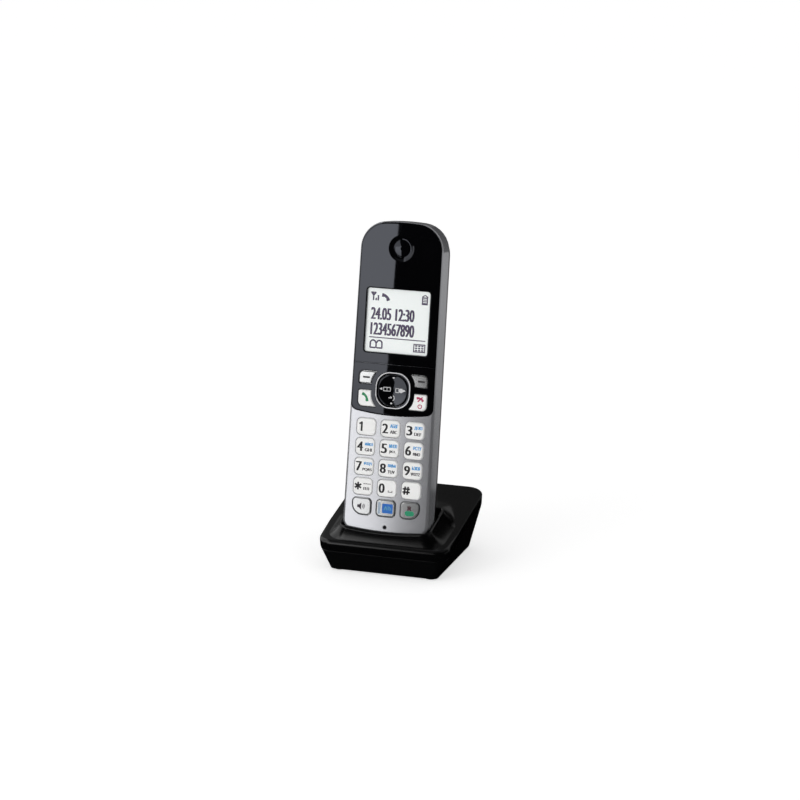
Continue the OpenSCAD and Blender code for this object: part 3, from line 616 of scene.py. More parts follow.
def towards(turn, outline, h=0.0):
    """The point of an outline that lies in a direction from the collar's middle, at a height."""
    best = 0.0
    ux, uy = math.cos(turn), math.sin(turn)
    for (x0, y0), (x1, y1) in zip(outline, outline[1:] + outline[:1]):
        y0, y1 = y0 - centre_s, y1 - centre_s
        ex, ey = x1 - x0, y1 - y0
        across = ux * ey - uy * ex
        if abs(across) < 1e-9:
            continue
        t = (x0 * ey - y0 * ex) / across
        u = (x0 * uy - y0 * ux) / across
        if t > 0 and -1e-6 <= u <= 1 + 1e-6:
            best = max(best, t)
    return (best * ux, centre_s + best * uy, h)


def pocket_outline(grow, h):
    """Outline of the pocket in the sloping frame at a height above the slope."""
    low_s, high_s = [mic_s + (h - mic_h) * math.tan(face_lean) + d / math.cos(face_lean)
                     for d in (pocket_front - grow, pocket_back + grow)]
    middle = (0, (low_s + high_s) / 2)
    return rounded(2 * (pocket_x + grow), high_s - low_s, 1.2 + 2.2 * grow, middle)


def wall_point(turn, grow, h):
    """A point at a height on the pocket's wall, or at a distance outside it."""
    return towards(turn, pocket_outline(grow, h), h)


def crest_height(x, s):
    """Height of the crest above the slope: level, but scooped out at the front."""
    climb = min(1.0, max(0.0, (s - climb_from) / climb_over))
    level_h = crest_front + (crest_back - crest_front) * climb
    if s > scoop_end:
        return level_h
    scoop = mic_h + (scoop_low + x * x / (2 * scoop_r)) * math.cos(face_lean) + scoop_lift
    gap = level_h - scoop
    return level_h - 0.5 * (gap + math.sqrt(gap * gap + scoop_blend)) + 0.1


def under_floor(s, v):
    """Height in the sloping frame of the plane square to the handset at v."""
    return mic_h + (v - (s - mic_s) * math.sin(face_lean)) / math.cos(face_lean)


turns = set(round(a * 2.0, 3) for a in range(180))
for x, s in ((pocket_x, 5), (pocket_x, 31), (-pocket_x, 5), (-pocket_x, 31)):
    corner = math.degrees(math.atan2(s - centre_s, x))
    turns |= set(round((corner + 0.6 * k) % 360, 3) for k in range(-9, 10))
turns = [math.radians(a) for a in sorted(turns)]


def on_turns(outline):
    """A ring of points of an outline, one for each turn."""
    return [towards(turn, outline) for turn in turns]


def dropped(inset, drop):
    """A ring of the cabinet's plan, lowered straight down."""
    return lowered([(x, s) for x, s, h in on_turns(plan(inset))], drop)


def blended(first, second, parts):
    """Each point of one ring moved towards its partner by its own part."""
    return [tuple(p + (q - p) * part for p, q in zip(a, b))
            for a, b, part in zip(first, second, parts)]


def crest_ring(grow, below):
    """A ring at a distance outside the pocket and below the crest."""
    ring = []
    for turn in turns:
        x, s, h = wall_point(turn, grow, crest_front)
        ring.append(wall_point(turn, grow, crest_height(x, s) - below))
    return ring


shell = [wall_point(t, skirt_t, skirt_h) for t in turns]
rings = [[(x, s, min(skirt_h, under_floor(s, floor_v - skirt_t))) for x, s, h in shell], shell]
band_steps = ((1.9, 1.9), (1.9, band_h - 0.3), (0.5, band_h), (0.3, band_h - 0.25))
rings += [dropped(inset, drop) for inset, drop in band_steps]
frontness = [min(1.0, max(0.0, (front_from - s) / front_over)) for x, s, h in on_turns(plan(0.6))]
for steps in zip(rounding(side_edge, 10), rounding(front_edge, 10)):
    small, large = [dropped(inset, drop) for drop, inset in steps]
    rings.append(blended(small, large, frontness))
edge_ring = rings[-1]
foot_ring = on_turns(spread(collar_foot))
rings += [blended(edge_ring, foot_ring, [part] * len(turns)) for part in (0.3, 0.7)]
crest_foot = crest_ring(lip_t, lip_drop)
for part in [math.sin(math.radians(7.5 * k)) for k in range(13)]:
    rise = 0.45 * part + 0.55 * part * part
    rings.append([(fx + (cx - fx) * part, fs + (cs - fs) * part, ch * rise)
                  for (fx, fs, fh), (cx, cs, ch) in zip(foot_ring, crest_foot)])
for t in [math.radians(a) for a in range(12, 181, 14)]:
    rings.append(crest_ring(lip_t / 2 * (1 + math.cos(t)), lip_drop - lip_drop * math.sin(t)))
pocket_floor = []
for turn in turns:
    point = wall_point(turn, 0, 0)
    for step in range(6):
        point = wall_point(turn, 0, under_floor(point[1], floor_v))
    pocket_floor.append(point)
rings.append(blended(rings[-1], pocket_floor, [0.5] * len(turns)))
rings.append(pocket_floor)
cabinet = loft("cradle_cabinet", rings, slope_frame)
slot_w, slot_l, slot_x, slot_v = 4.4, 7.0, 5.5, 3.2
slots = [rounded(slot_w, slot_l, 0.5, (x, slot_v), 3) for x in (-slot_x, slot_x)]
carve(cabinet, [loft("slot", [at_depth(slot, d) for d in (22.0, 30.0)], hand) for slot in slots])
own(tidy(cabinet, 24), "cradle", "cradle_top", black_case)


# --------------------------------------
# Inside the cradle: board, sprung contacts and power socket keep the shapes of
# the frame and get their own finishes.
def finish(material, *nodes):
    """Carried-over nodes keep their shapes and take a material."""
    for node in nodes:
        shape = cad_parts[node].data
        shape.materials.clear()
        shape.materials.append(material)


board_green = surface("board_green", (0.015, 0.11, 0.04), 0.35, mottle=0.25, grain=1.2, bump=0.2)
gold_plate = surface("gold_plate", (0.78, 0.55, 0.22), 0.22, metallic=1.0, mottle=0.08, bump=0.1)
dark_plastic = surface("dark_plastic", (0.018, 0.018, 0.02), 0.45, bump=0.2)
tin_steel = surface("tin_steel", (0.55, 0.55, 0.56), 0.32, metallic=1.0, mottle=0.08, grain=0.5,
                    bump=0.15)
finish(board_green, "cradle_board")
finish(gold_plate, "contact_left", "contact_right")
finish(dark_plastic, "power_inlet")


# --------------------------------------
# Handset, rear half: the black shell with its ringer slots and screw holes, the
# battery cover that slides on it, and the screws. The shell's facets are merged
# and smoothed; a fine grain keeps it from looking like glass.
def smoothed_copy(node, name):
    """A copy of a node's solid with its facets merged."""
    piece = placed(name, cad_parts[node].data.copy())
    work = bmesh.new()
    work.from_mesh(piece.data)
    bmesh.ops.remove_doubles(work, verts=work.verts, dist=0.004 * mm)
    bmesh.ops.dissolve_limit(work, angle_limit=math.radians(0.6), verts=work.verts,
                             edges=work.edges)
    work.to_mesh(piece.data)
    work.free()
    return piece


rear_black = surface("rear_black", (0.009, 0.009, 0.01), 0.33, grain=0.25, bump=0.12)
cover_black = surface("cover_black", (0.010, 0.010, 0.011), 0.4, grain=0.35, bump=0.35)
rear_shell = smoothed_copy("rear_case", "rear_shell")
own(tidy(rear_shell, 40), "handset", "rear_case", rear_black)
battery_door = smoothed_copy("battery_cover", "battery_door")
bevelled(battery_door, 0.12, 50)
own(tidy(battery_door, 40), "battery_cover", "battery_cover", cover_black)
finish(gold_plate, "charge_terminals")
finish(tin_steel, "handset_screws")


# --------------------------------------
# Inside the handset: cells, springs, board, radio can, mat and loudspeakers keep
# the frame's shapes. The cells get a blue sleeve with a silver end.
sleeve_end_z = 0.098
sleeve = Look("cell_sleeve")
height = sleeve.sheet.add("ShaderNodeSeparateXYZ", {"Vector": sleeve.place}, "Z")
sleeve.colour(height > sleeve_end_z, (0.03, 0.10, 0.32), (0.45, 0.45, 0.46))
sleeve.set("Roughness", 0.3 + 0.1 * sleeve.noise(90.0))
white_mould = surface("white_mould", (0.72, 0.72, 0.71), 0.5, mottle=0.06, grain=0.4, bump=0.15)
grey_silicone = surface("grey_silicone", (0.42, 0.42, 0.43), 0.6, mottle=0.06, bump=0.3)
finish(sleeve.material, "batteries")
finish(gold_plate, "battery_contacts", "antenna")
finish(board_green, "main_board")
finish(tin_steel, "rf_shield")
finish(grey_silicone, "keypad_mat")
finish(white_mould, "light_guide")
finish(dark_plastic, "nav_pivot", "microphone", "ringer_speaker", "earpiece_speaker")


# --------------------------------------
# Front case: silver-painted moulding with a rounded face edge, a shallow seat
# for the black panels, and a chamfered opening for every key. The paint is a
# fine metallic over grey, so it mirrors softly and keeps a light grey body.
foot_half, top_half = 24.4, 23.45
head_v, foot_v = 166.5, -4.8
end_r, top_r, foot_r, face_r = 125.0, 15.0, 6.5, 1.4
seam_d, case_wall, face_back = 12.0, 1.8, 3.0
panel_foot, groove_v, panel_rim, panel_r = 61.0, 89.0, 0.5, 4.0
panel_half = foot_half - (foot_half - top_half) * panel_foot / head_v
column_pitch, row_pitch, first_row = 13.8, 10.9, 10.5
opening_w, opening_h, opening_r, swept_r = 11.0, 9.4, 2.4, 5.8
window_v, window_w, window_h = 112.35, 35.7, 34.7
ear_v, ear_hole_r, mic_r = 152.0, 6.4, 0.95


def swept_end(half, tip, corner_r, inset):
    """One end of an outline: a corner, a shallow sweep across the width, the other corner."""
    turn = math.degrees(math.asin((half - corner_r) / (end_r - corner_r)))
    low = tip - end_r
    corner_v = low + (end_r - corner_r) * math.cos(math.radians(turn))
    return (arc((half - corner_r, corner_v), corner_r - inset, 0, 90 - turn, 14)
            + arc((0, low), end_r - inset, 90 - turn, 90 + turn, 14)[1:-1]
            + arc((corner_r - half, corner_v), corner_r - inset, 90 + turn, 180, 14))


def top_end(inset):
    return swept_end(top_half, head_v, top_r, inset)


def lower_end(half, foot, corner_r, inset):
    return [(-x, -v) for x, v in swept_end(half, -foot, corner_r, inset)]


def panel_end(inset):
    return lower_end(panel_half, panel_foot - panel_rim, panel_r + panel_rim, inset)


def case_ring(inset, depth):
    return at_depth(top_end(inset) + lower_end(foot_half, foot_v, foot_r, inset), depth)


def key_centre(column, row):
    return ((column - 1) * column_pitch, first_row + row * row_pitch)


def key_outline(column, row, grow):
    """Outline of a key opening, grown by a distance; two keys have one large corner."""
    radii = [opening_r + grow] * 4
    if row == 0 and column != 1:
        radii[2 if column == 0 else 3] = swept_r + grow
    return rounded(opening_w + 2 * grow, opening_h + 2 * grow, radii, key_centre(column, row), 8)


def stacked(name, outline, levels):
    """A cutter in the handset's face: an outline at each of some depths, with a grow for each."""
    return loft(name, [at_depth(outline(grow), depth) for grow, depth in levels], hand)


silver = Look("silver_paint")
flake = silver.sheet.add("ShaderNodeTexVoronoi", {"Vector": silver.place, "Scale": 9000.0}, "Color")
flake = silver.sheet.add("ShaderNodeSeparateColor", {"Color": flake})
silver.colour(flake * 0.7 + silver.noise(60.0) * 0.3, (0.455, 0.46, 0.485), (0.535, 0.54, 0.565))
silver.set("Roughness", 0.11 + 0.04 * flake)
silver.set("Metallic", 0.66)
silver.lean_left(0.009)

skin = rounding(face_r, 6) + [
    (0, seam_d - 0.3), (0.25, seam_d - 0.02), (case_wall, seam_d - 0.02), (case_wall, face_back)]
shell = loft("front_shell", [case_ring(inset, depth) for inset, depth in skin], hand)
tools = []
for column in range(3):
    for row in range(5):
        tools.append(stacked("opening", lambda grow: key_outline(column, row, grow),
                             ((0.62, -0.5), (0.12, 0.25), (0.0, 0.55), (0.0, 6.0 + 0.01 * row))))
inside = rounded(2 * (foot_half - case_wall), 60.0, [1.0, 1.0, 4.6, 4.6], (0, 28.3), 6)
bay = [(-20.9, 64.2), (20.9, 64.2), (20.9, 86.3), (-20.9, 86.3)]
display = rounded(window_w + 0.2, window_h + 0.2, 0.3, (0, window_v), 2)
for name, outline, *depths in (
        ("seat", top_end(panel_rim) + panel_end(panel_rim), -1.0, 1.5),
        ("inside", inside, 1.6, 5.5),
        ("bay", bay, 0.6, 5.7),
        ("display_opening", display, 0.5, 5.8),
        ("ear_opening", circle((0, ear_v), ear_hole_r, 36), 0.4, 5.9)):
    tools.append(loft(name, [at_depth(outline, d) for d in depths], hand))
tools.append(stacked("mic_hole", lambda r: circle((0, 0), r, 24),
                     ((mic_r + 0.6, -0.5), (mic_r, 0.3), (mic_r, 6.2))))
carve(shell, tools)
own(tidy(shell, 28), "handset", "front_case", silver.material)


# --------------------------------------
# Black panels: two polished mouldings let into the front case with a fine groove
# between them. The upper one has the display opening and the earpiece dish, the
# lower one the bay of the navigation key and of the four keys beside it.
gloss = Look("polished_black")
slow = gloss.noise(45.0, 1.0)
gloss.colour(slow, (0.0012, 0.0012, 0.0016), (0.0022, 0.0022, 0.0028))
gloss.set("Roughness", 0.004 + 0.02 * slow)
gloss.set("Specular Tint", (0.84, 0.88, 1.0, 1))
gloss.bump(slow, 0.02, 0.1 * mm)
panel_black = gloss.material
half_at_groove = foot_half - (foot_half - top_half) * groove_v / head_v


def panel_ring(outline, side, inset, depth, edge):
    """A ring of one panel: its end's outline, and a straight edge on its side of the groove."""
    half, v = side * (half_at_groove - inset), groove_v + side * (0.2 + edge)
    return at_depth(outline(inset) + [(-half, v), (half, v)], depth)


edge_levels = [(inset, depth, 0.18 * (1 - k / 5))
               for k, (inset, depth) in enumerate(rounding(face_r, 5, 39.0))]
foot_inset = panel_rim + 0.05
tongue = [(foot_inset, 1.0, 0.0), (foot_inset, 1.0, -0.34), (foot_inset, 1.45, -0.34)]
upper_rings = [panel_ring(top_end, 1, *levels) for levels in edge_levels + tongue]
upper = loft("upper_panel", upper_rings, hand)
window_cut = stacked("window_cut",
                     lambda g: rounded(window_w + g, window_h + g, 1.5 + g / 2, (0, window_v), 6),
                     ((2.6, -0.45), (0.1, 0.4), (0.0, 3.0)))
dish_r, dish_floor_r, dish_depth, disc_hole_r = 7.5, 5.1, 1.15, 4.85
dish = [(dish_r + 0.4, -0.4)]
dish += [(dish_r - (dish_r - dish_floor_r) * t, dish_depth * (1 - math.cos(math.pi * t)) / 2)
         for t in (0.15, 0.3, 0.45, 0.6, 0.75, 0.9, 1.0)]
dish += [(disc_hole_r, dish_depth + 0.03), (disc_hole_r, 3.0)]
carve(upper, [window_cut, stacked("dish_cut", lambda r: circle((0, ear_v), r, 96), dish)])
own(tidy(upper, 30), "handset", "window_panel", panel_black)

nav_v = 74.9
nav_half, nav_ring_half, nav_ring_t, nav_bay_half = 8.3, 9.85, 1.2, 12.2
side_x, side_w = 19.6, 10.6
soft_keys, call_keys = (nav_v + 6.2, 7.0, True), (nav_v - 5.25, 8.9, False)


def nav_square(half):
    return rounded(2 * half, 2 * half, half * 0.8, (0, nav_v), 14)


def side_outline(side, v, h, swept_top, grow):
    """Outline of a key beside the navigation key, with its large outer corner."""
    radii = [max(0.3, 1.0 + grow)] * 4
    radii[(0 if side > 0 else 1) if swept_top else (3 if side > 0 else 2)] = max(0.3, 2.6 + grow)
    return rounded(side_w + 2 * grow, h + 2 * grow, radii, (side * (side_x - side_w / 2), v), 5)


edge_levels.append((foot_inset, 1.45, 0.0))
lower = loft("lower_panel", [panel_ring(panel_end, -1, *levels) for levels in edge_levels], hand)
tools = [stacked("ring_cut", lambda g: nav_square(nav_ring_half + g),
                 ((0.6, -0.3), (0.06, 0.25), (0.06, 3.0)))]
for side in (-1, 1):
    for keys in (soft_keys, call_keys):
        block = stacked("side_cut", lambda g: side_outline(side, *keys, g),
                        ((0.82, -0.4), (0.0, 0.42), (0.0, 3.0)))
        keep = stacked("keep", nav_square, ((nav_bay_half, -2.0), (nav_bay_half, 5.0)))
        tools.append(carve(block, [keep]))
carve(lower, tools)
own(tidy(lower, 30), "handset", "nav_panel", panel_black)


# --------------------------------------
# Display: a pale glass with dark segments under a clear lens, seated in the
# upper panel. The glass has a painted glow that whitens it. The marks are
# generic: signal, call, battery, a date and digits.
print_layer = 0.001


def flat(name, shapes, depth, material, body):
    """Thin shapes, each points and faces in mm, laid on the handset at a depth for each place."""
    work = bmesh.new()
    for number, (points, faces) in enumerate(shapes):
        corners = [work.verts.new(Vector((x, v, print_layer * number - depth(x, v))) * mm)
                   for x, v in points]
        for face in faces:
            work.faces.new([corners[i] for i in face])
    bmesh.ops.triangulate(work, faces=work.faces)
    for face in work.faces:
        face.normal_update()
        if face.normal.z < 0:
            face.normal_flip()
    mesh = bpy.data.meshes.new(name)
    work.to_mesh(mesh)
    work.free()
    own(placed(name, mesh, hand), body, None, material)


def outlined(points):
    """A shape of one face."""
    return points, [list(range(len(points)))]


def dot(x, v, radius):
    return outlined(arc((x, v), radius, 0, 330, 11))


def plate(x, v, w, h, r=0.0):
    """A box with square or round corners."""
    if r:
        return outlined(rounded(w, h, r, (x, v), 5))
    corners = ((-1, -1), (1, -1), (1, 1), (-1, 1))
    return outlined([(x + i * w / 2, v + j * h / 2) for i, j in corners])


def stroke(start, end, width):
    """A straight stroke with square ends."""
    start, end = Vector(start), Vector(end)
    side = Vector((start.y - end.y, end.x - start.x)).normalized() * width / 2
    return outlined([tuple(p) for p in (start - side, end - side, end + side, start + side)])


def strip(outer, inner):
    """A shape between two rows of points."""
    count = len(outer)
    return outer + inner, [(i, i + 1, count + 1 + i, count + i) for i in range(count - 1)]


def band(centre, radius, width, start, end, steps):
    """A curved stroke along an arc."""
    return strip(*[arc(centre, radius + side * width / 2, start, end, steps) for side in (1, -1)])


def box(x, v, w, h, line):
    """The outline of a box, as four strokes."""
    across, up = (w - line) / 2, (h - line) / 2
    return ([plate(x, v + side * up, w, line) for side in (1, -1)]
            + [plate(x + side * across, v, line, h - 2 * line) for side in (-1, 1)])


def lettering(text, middle, height, width):
    """Letters of the built-in face, stretched to a height and a width about their middle."""
    curve = bpy.data.curves.new("lettering", "FONT")
    curve.body = text
    curve.resolution_u = 4
    holder = bpy.data.objects.new("lettering", curve)
    scene.collection.objects.link(holder)
    bpy.context.view_layer.update()
    graph = bpy.context.evaluated_depsgraph_get()
    mesh = bpy.data.meshes.new_from_object(holder.evaluated_get(graph))
    bpy.data.objects.remove(holder)
    rows = []
    for axis, size in ((0, width), (1, height)):
        row = [p.co[axis] for p in mesh.vertices]
        centre, scale = (max(row) + min(row)) / 2, size / (max(row) - min(row))
        rows.append([(value - centre) * scale + middle[axis] for value in row])
    return list(zip(*rows)), [list(face.vertices) for face in mesh.polygons]


def ink(name, colour):
    """Printed ink: one pigment with a faint unevenness."""
    return surface(name, colour, 0.45, mottle=0.12, grain=0.12)


def receiver(x, v, size, tilt, weight):
    """A telephone receiver: a curved handle, thicker at both ends, turned by tilt."""
    outer, inner = [], []
    c, s = math.cos(math.radians(tilt)), math.sin(math.radians(tilt))
    for step in range(-12, 13):
        turn = math.radians(90 + 2.5 * step)
        thick = size * 0.2 * weight * (1 + 0.3 * max(0.0, min(1.0, (abs(step) - 4) / 4)))
        for row, radius in ((outer, size), (inner, size - thick)):
            px, py = radius * math.cos(turn), radius * math.sin(turn) - 0.82 * size
            row.append((x + px * c - py * s, v + px * s + py * c))
    return strip(outer, inner)


glass = Look("display_glass")
slow = glass.noise(40.0)
# Painted glow: the glass gives off light in its own pale colour so that it reads whiter.
glass.set("Emission Color", glass.colour(slow, (0.72, 0.75, 0.74), (0.76, 0.79, 0.78)))
glass.set("Emission Strength", 0.44)
glass.set("Roughness", 0.45 + 0.1 * slow)
finish(glass.material, "lcd_module")

clear = Look("clear_lens")
slow = clear.noise(50.0)
clear.colour(slow, (0.8, 0.82, 0.82), (0.9, 0.9, 0.9))
clear.set("Roughness", 0.03 + 0.03 * slow)
clear.set("Alpha", 0.035)
window_lens = stacked("window_lens",
                      lambda g: rounded(window_w - g, window_h - g, 1.4, (0, window_v), 6),
                      ((0.5, 0.12), (0.2, 0.25), (0.2, 1.45)))
own(tidy(window_lens), "handset", "display_window", clear.material)

display_w, display_h = 35.2, 34.2


def on_display(across, down):
    """A place on the display, as parts of its width and height from its top left."""
    return ((across - 0.5) * display_w, window_v + (0.5 - down) * display_h)


marks = []
for shift in (-0.009, -0.003, 0.003, 0.009):
    for text, left, right, top, bottom in (("24.05 12:30", 0.065, 0.755, 0.30, 0.49),
                                           ("1234567890", 0.07, 0.765, 0.54, 0.735)):
        middle = on_display((left + right) / 2 + shift, (top + bottom) / 2)
        size = ((bottom - top) * display_h, (right - left) * display_w)
        marks.append(lettering(text, middle, *size))
marks.append(plate(*on_display(0.505, 0.775), 0.91 * display_w, 0.55))
x, v = on_display(0.085, 0.125)
marks.append(stroke((x, v - 2.2), (x, v + 2.2), 0.8))
marks += [stroke((x + side * 1.3, v + 2.1), (x, v + 0.4), 0.75) for side in (-1, 1)]
marks.append(stroke((x - 1.5, v + 2.1), (x + 1.5, v + 2.1), 0.6))
marks += [plate(x + 1.5 + k * 1.2, v - 1.5 + k * 0.75, 0.85, 1.4 + k * 1.5) for k in (0, 1)]
marks.append(receiver(*on_display(0.285, 0.125), 5.8, -38, 1.3))
x, v = on_display(0.915, 0.135)
marks += box(x, v - 0.3, 3.4, 4.2, 0.65)
marks += [stroke((x + side * 1.7, v + 1.8), (x, v + 2.9), 0.55) for side in (-1, 1)]
marks += [plate(x, v - 1.5 + k * 0.95, 2.0, 0.5) for k in range(4)]
x, v = on_display(0.17, 0.885)
for side in (-1, 1):
    marks.append(band((x + side * 1.8, v + 0.6), 1.55, 0.85, 0, 180, 12))
    marks += [plate(x + side * 3.35, v - 0.7, 0.85, 2.6), plate(x + side * 1.9, v - 1.9, 3.1, 0.8)]
marks.append(plate(x, v - 0.5, 0.85, 3.2))
x, v = on_display(0.87, 0.895)
marks += box(x, v, 6.8, 4.6, 0.6)
marks += [plate(x + i * 1.75, v + j * 1.2, 1.25, 0.75) for i in (-1, 0, 1) for j in (-1, 0, 1)]
flat("display_marks", marks, lambda x, v: 1.52, ink("segment_ink", (0.05, 0.018, 0.10)), "handset")


# --------------------------------------
# Earpiece: a polished disc in the middle of the dish. It stands on the
# loudspeaker's flange; sound passes around its rim.
disc_r, disc_depth, dome = 4.6, 0.3, 80
disc_levels = [(disc_r * k / 6, disc_depth + (disc_r * k / 6) ** 2 / dome) for k in range(1, 6)]
disc_levels += [(disc_r - inset, disc_depth + 0.26 + depth)
                for inset, depth in rounding(0.35, 4)[1:]]
disc_levels += [(disc_r, 1.5), (6.0, 1.56), (6.0, 2.9)]
ear_disc = stacked("earpiece_disc", lambda r: circle((0, ear_v), r, 60), disc_levels)
own(tidy(ear_disc), "handset", "earpiece_cover", panel_black)


# --------------------------------------
# Keypad: fifteen caps grown by one Geometry Nodes tree. A cap has a rounded
# outline, two have one large corner, and a lip under the face keeps it in.
# The digit keys are milky white plastic with a painted glow, the function keys pearly silver.
def key_plastic(name, low, high, roughness):
    """Key plastic, milky or pearly, with a fine satin grain; its look and its colour."""
    look = Look(name)
    tint = look.colour(look.noise(300.0), low, high)
    look.set("Roughness", roughness + 0.05 * look.noise(5000.0))
    return look, tint


milky, tint = key_plastic("milky_key_painted_glow", (0.80, 0.80, 0.79), (0.84, 0.84, 0.83), 0.3)
# Painted glow: the milky caps give off a little light in their own colour, though they are no lamp,
# so they read whiter.
milky.set("Emission Color", tint)
milky.set("Emission Strength", 0.25)
pearl, tint = key_plastic("pearl_key", (0.47, 0.475, 0.48), (0.53, 0.535, 0.54), 0.10)
pearl.set("Metallic", 0.75)
pearl.lean_left(0.007)
milky_key_painted_glow, pearl_key = milky.material, pearl.material
face_wall, key_gap, key_proud, lip_out, lip_thick = 1.65, 0.25, 0.6, 0.45, 0.7
key_sizes = {"Width": (opening_w - 2 * key_gap) * mm, "Height": (opening_h - 2 * key_gap) * mm,
             "Corner": (opening_r - key_gap) * mm, "Large Corner": (swept_r - key_gap) * mm,
             "Depth": (face_wall + key_proud) * mm, "Lip": lip_out * mm,
             "Lip Thickness": lip_thick * mm}
no_corner = 9

sheet, given = geometry_sheet("key_cap", {**key_sizes, "Large Corner Index": no_corner})
parts = []
for extra, thick, drop in ((0.0, given["Depth"], 0.0),
                           (given["Lip"], given["Lip Thickness"], given["Depth"] * -1.0)):
    outline = sheet.add("GeometryNodeCurvePrimitiveQuadrilateral", {
        "Width": given["Width"] + 2 * extra, "Height": given["Height"] + 2 * extra}, "Curve")
    is_large = sheet.add("FunctionNodeCompare", {
        "A_INT": sheet.add("GeometryNodeInputIndex"), "B_INT": given["Large Corner Index"]},
        data_type="INT", operation="EQUAL")
    radius = sheet.add("GeometryNodeSwitch", {
        "Switch": is_large, "False": given["Corner"] + extra,
        "True": given["Large Corner"] + extra}, input_type="FLOAT")
    curved = sheet.add("GeometryNodeFilletCurve", {
        "Curve": outline, "Count": 9, "Radius": radius}, mode="POLY")
    face = sheet.add("GeometryNodeFillCurve", {"Curve": curved}, mode="NGONS")
    walls = sheet.add("GeometryNodeExtrudeMesh", {
        "Mesh": face, "Offset Scale": thick * -1.0, "Individual": False}, mode="FACES")
    solid = joined(sheet, walls, sheet.add("GeometryNodeFlipFaces", {"Mesh": face}))
    solid = sheet.add("GeometryNodeMergeByDistance", {"Geometry": solid, "Distance": 0.000001})
    parts.append(raised(sheet, solid, drop))
close_sheet(sheet, joined(sheet, *parts), milky_key_painted_glow)
key_tree = sheet.tree


def soft_edge(piece, width):
    """Rounds the edge around the flat top of a piece that still lies at the origin."""
    work = bmesh.new()
    work.from_mesh(piece.data)
    top = [e for e in work.edges if all(abs(p.co.z) < 0.01 * mm for p in e.verts)]
    bmesh.ops.bevel(work, geom=top, offset=width, segments=4, profile=0.5, affect="EDGES")
    work.to_mesh(piece.data)
    work.free()


def pad_key(node, column, row, material):
    """One cap of the keypad; the first row's outer keys have their large corner at the foot."""
    corner = (2, no_corner, 3)[column] if row == 0 else no_corner
    cap = grown(node + "_cap", key_tree, {"Large Corner Index": corner})
    soft_edge(cap, 0.5 * mm)
    x, v = key_centre(column, row)
    cap.data.transform(hand @ Matrix.Translation((x * mm, v * mm, key_proud * mm)))
    own(tidy(cap, 40), node, node, material)


digit_ink = ink("digit_ink", (0.012, 0.010, 0.014))
letter_ink = ink("letter_ink", (0.05, 0.04, 0.055))
blue_ink = ink("blue_ink", (0.09, 0.40, 0.82))
print_depth = -(key_proud + 0.012)


def printed(name, shapes, material, node, lift=0.0):
    """Signs printed on a key's face."""
    flat(name, shapes, lambda x, v: print_depth - lift, material, node)


def bold(text, middle, height, width, weight):
    """Letters thickened sideways by laying copies of them side by side."""
    points, faces = lettering(text, middle, height, width)
    return [([(x + shift, v) for x, v in points], faces) for shift in (-weight, 0.0, weight)]


rows = [["speaker_key", "page_key", "recall_key"], ["key_star", "key_0", "key_hash"],
        ["key_7", "key_8", "key_9"], ["key_4", "key_5", "key_6"], ["key_1", "key_2", "key_3"]]
letters = {"2": ("ABC", "АБВГ"), "3": ("DEF", "ДЕЖЗ"), "4": ("GHI", "ИЙКЛ"), "5": ("JKL", "МНОП"),
           "6": ("MNO", "РСТУ"), "7": ("PQRS", "ФХЦЧ"), "8": ("TUV", "ШЩЪЫ"), "9": ("WXYZ", "ЬЭЮЯ")}
for row, names in enumerate(rows):
    for column, node in enumerate(names):
        pad_key(node, column, row, pearl_key if row == 0 else milky_key_painted_glow)
        x, v = key_centre(column, row)
        sign = node.split("_")[1]
        if sign == "1":
            digit = [plate(x - 2.5, v, 1.05, 5.2),
                     stroke((x - 3.9, v + 1.35), (x - 2.3, v + 2.3), 0.85)]
            printed(node + "_digit", digit, digit_ink, node)
        elif sign.isdigit():
            printed(node + "_digit", bold(sign, (x - 2.8, v), 5.2, 2.95, 0.27), digit_ink, node)
        if sign in letters:
            latin, cyrillic = letters[sign]
            width = 1.3 * len(latin)
            printed(node + "_letters", bold(latin, (x + 2.05, v - 1.65), 1.75, width, 0.13),
                    letter_ink, node)
            printed(node + "_upper_letters", bold(cyrillic, (x + 2.25, v + 1.6), 2.0, 4.4, 0.14),
                    blue_ink, node)

x, v = key_centre(0, 1)
star_x, star_v, star_r = x - 2.6, v + 0.1, 2.1
arms = []
for angle in (math.radians(30), math.radians(90), math.radians(150)):
    along, up = star_r * math.cos(angle), star_r * math.sin(angle)
    arms.append(stroke((star_x - along, star_v - up), (star_x + along, star_v + up), 1.0))
printed("key_star_sign", arms, digit_ink, "key_star")
printed("key_star_note", [plate(x + 0.9 + k * 1.1, v + 1.5, 0.75, 0.55) for k in range(4)]
        + [plate(x + 0.8 + k * 0.95, v - 1.1, 0.55, 1.6) for k in range(4)], letter_ink, "key_star")
x, v = key_centre(1, 1)
printed("key_0_space", [plate(x + 2.1, v - 1.75, 2.6, 0.4), plate(x + 1.0, v - 1.3, 0.4, 0.9),
                        plate(x + 3.2, v - 1.3, 0.4, 0.9)], letter_ink, "key_0")
x, v = key_centre(2, 1)
bars = [stroke((x + across - 0.2, v - 2.2), (x + across + 0.2, v + 2.2), 1.0)
        for across in (-3.4, -1.7)]
bars += [plate(x - 2.55, v + side * 0.85, 4.2, 0.9) for side in (-1, 1)]
printed("key_hash_sign", bars, digit_ink, "key_hash")

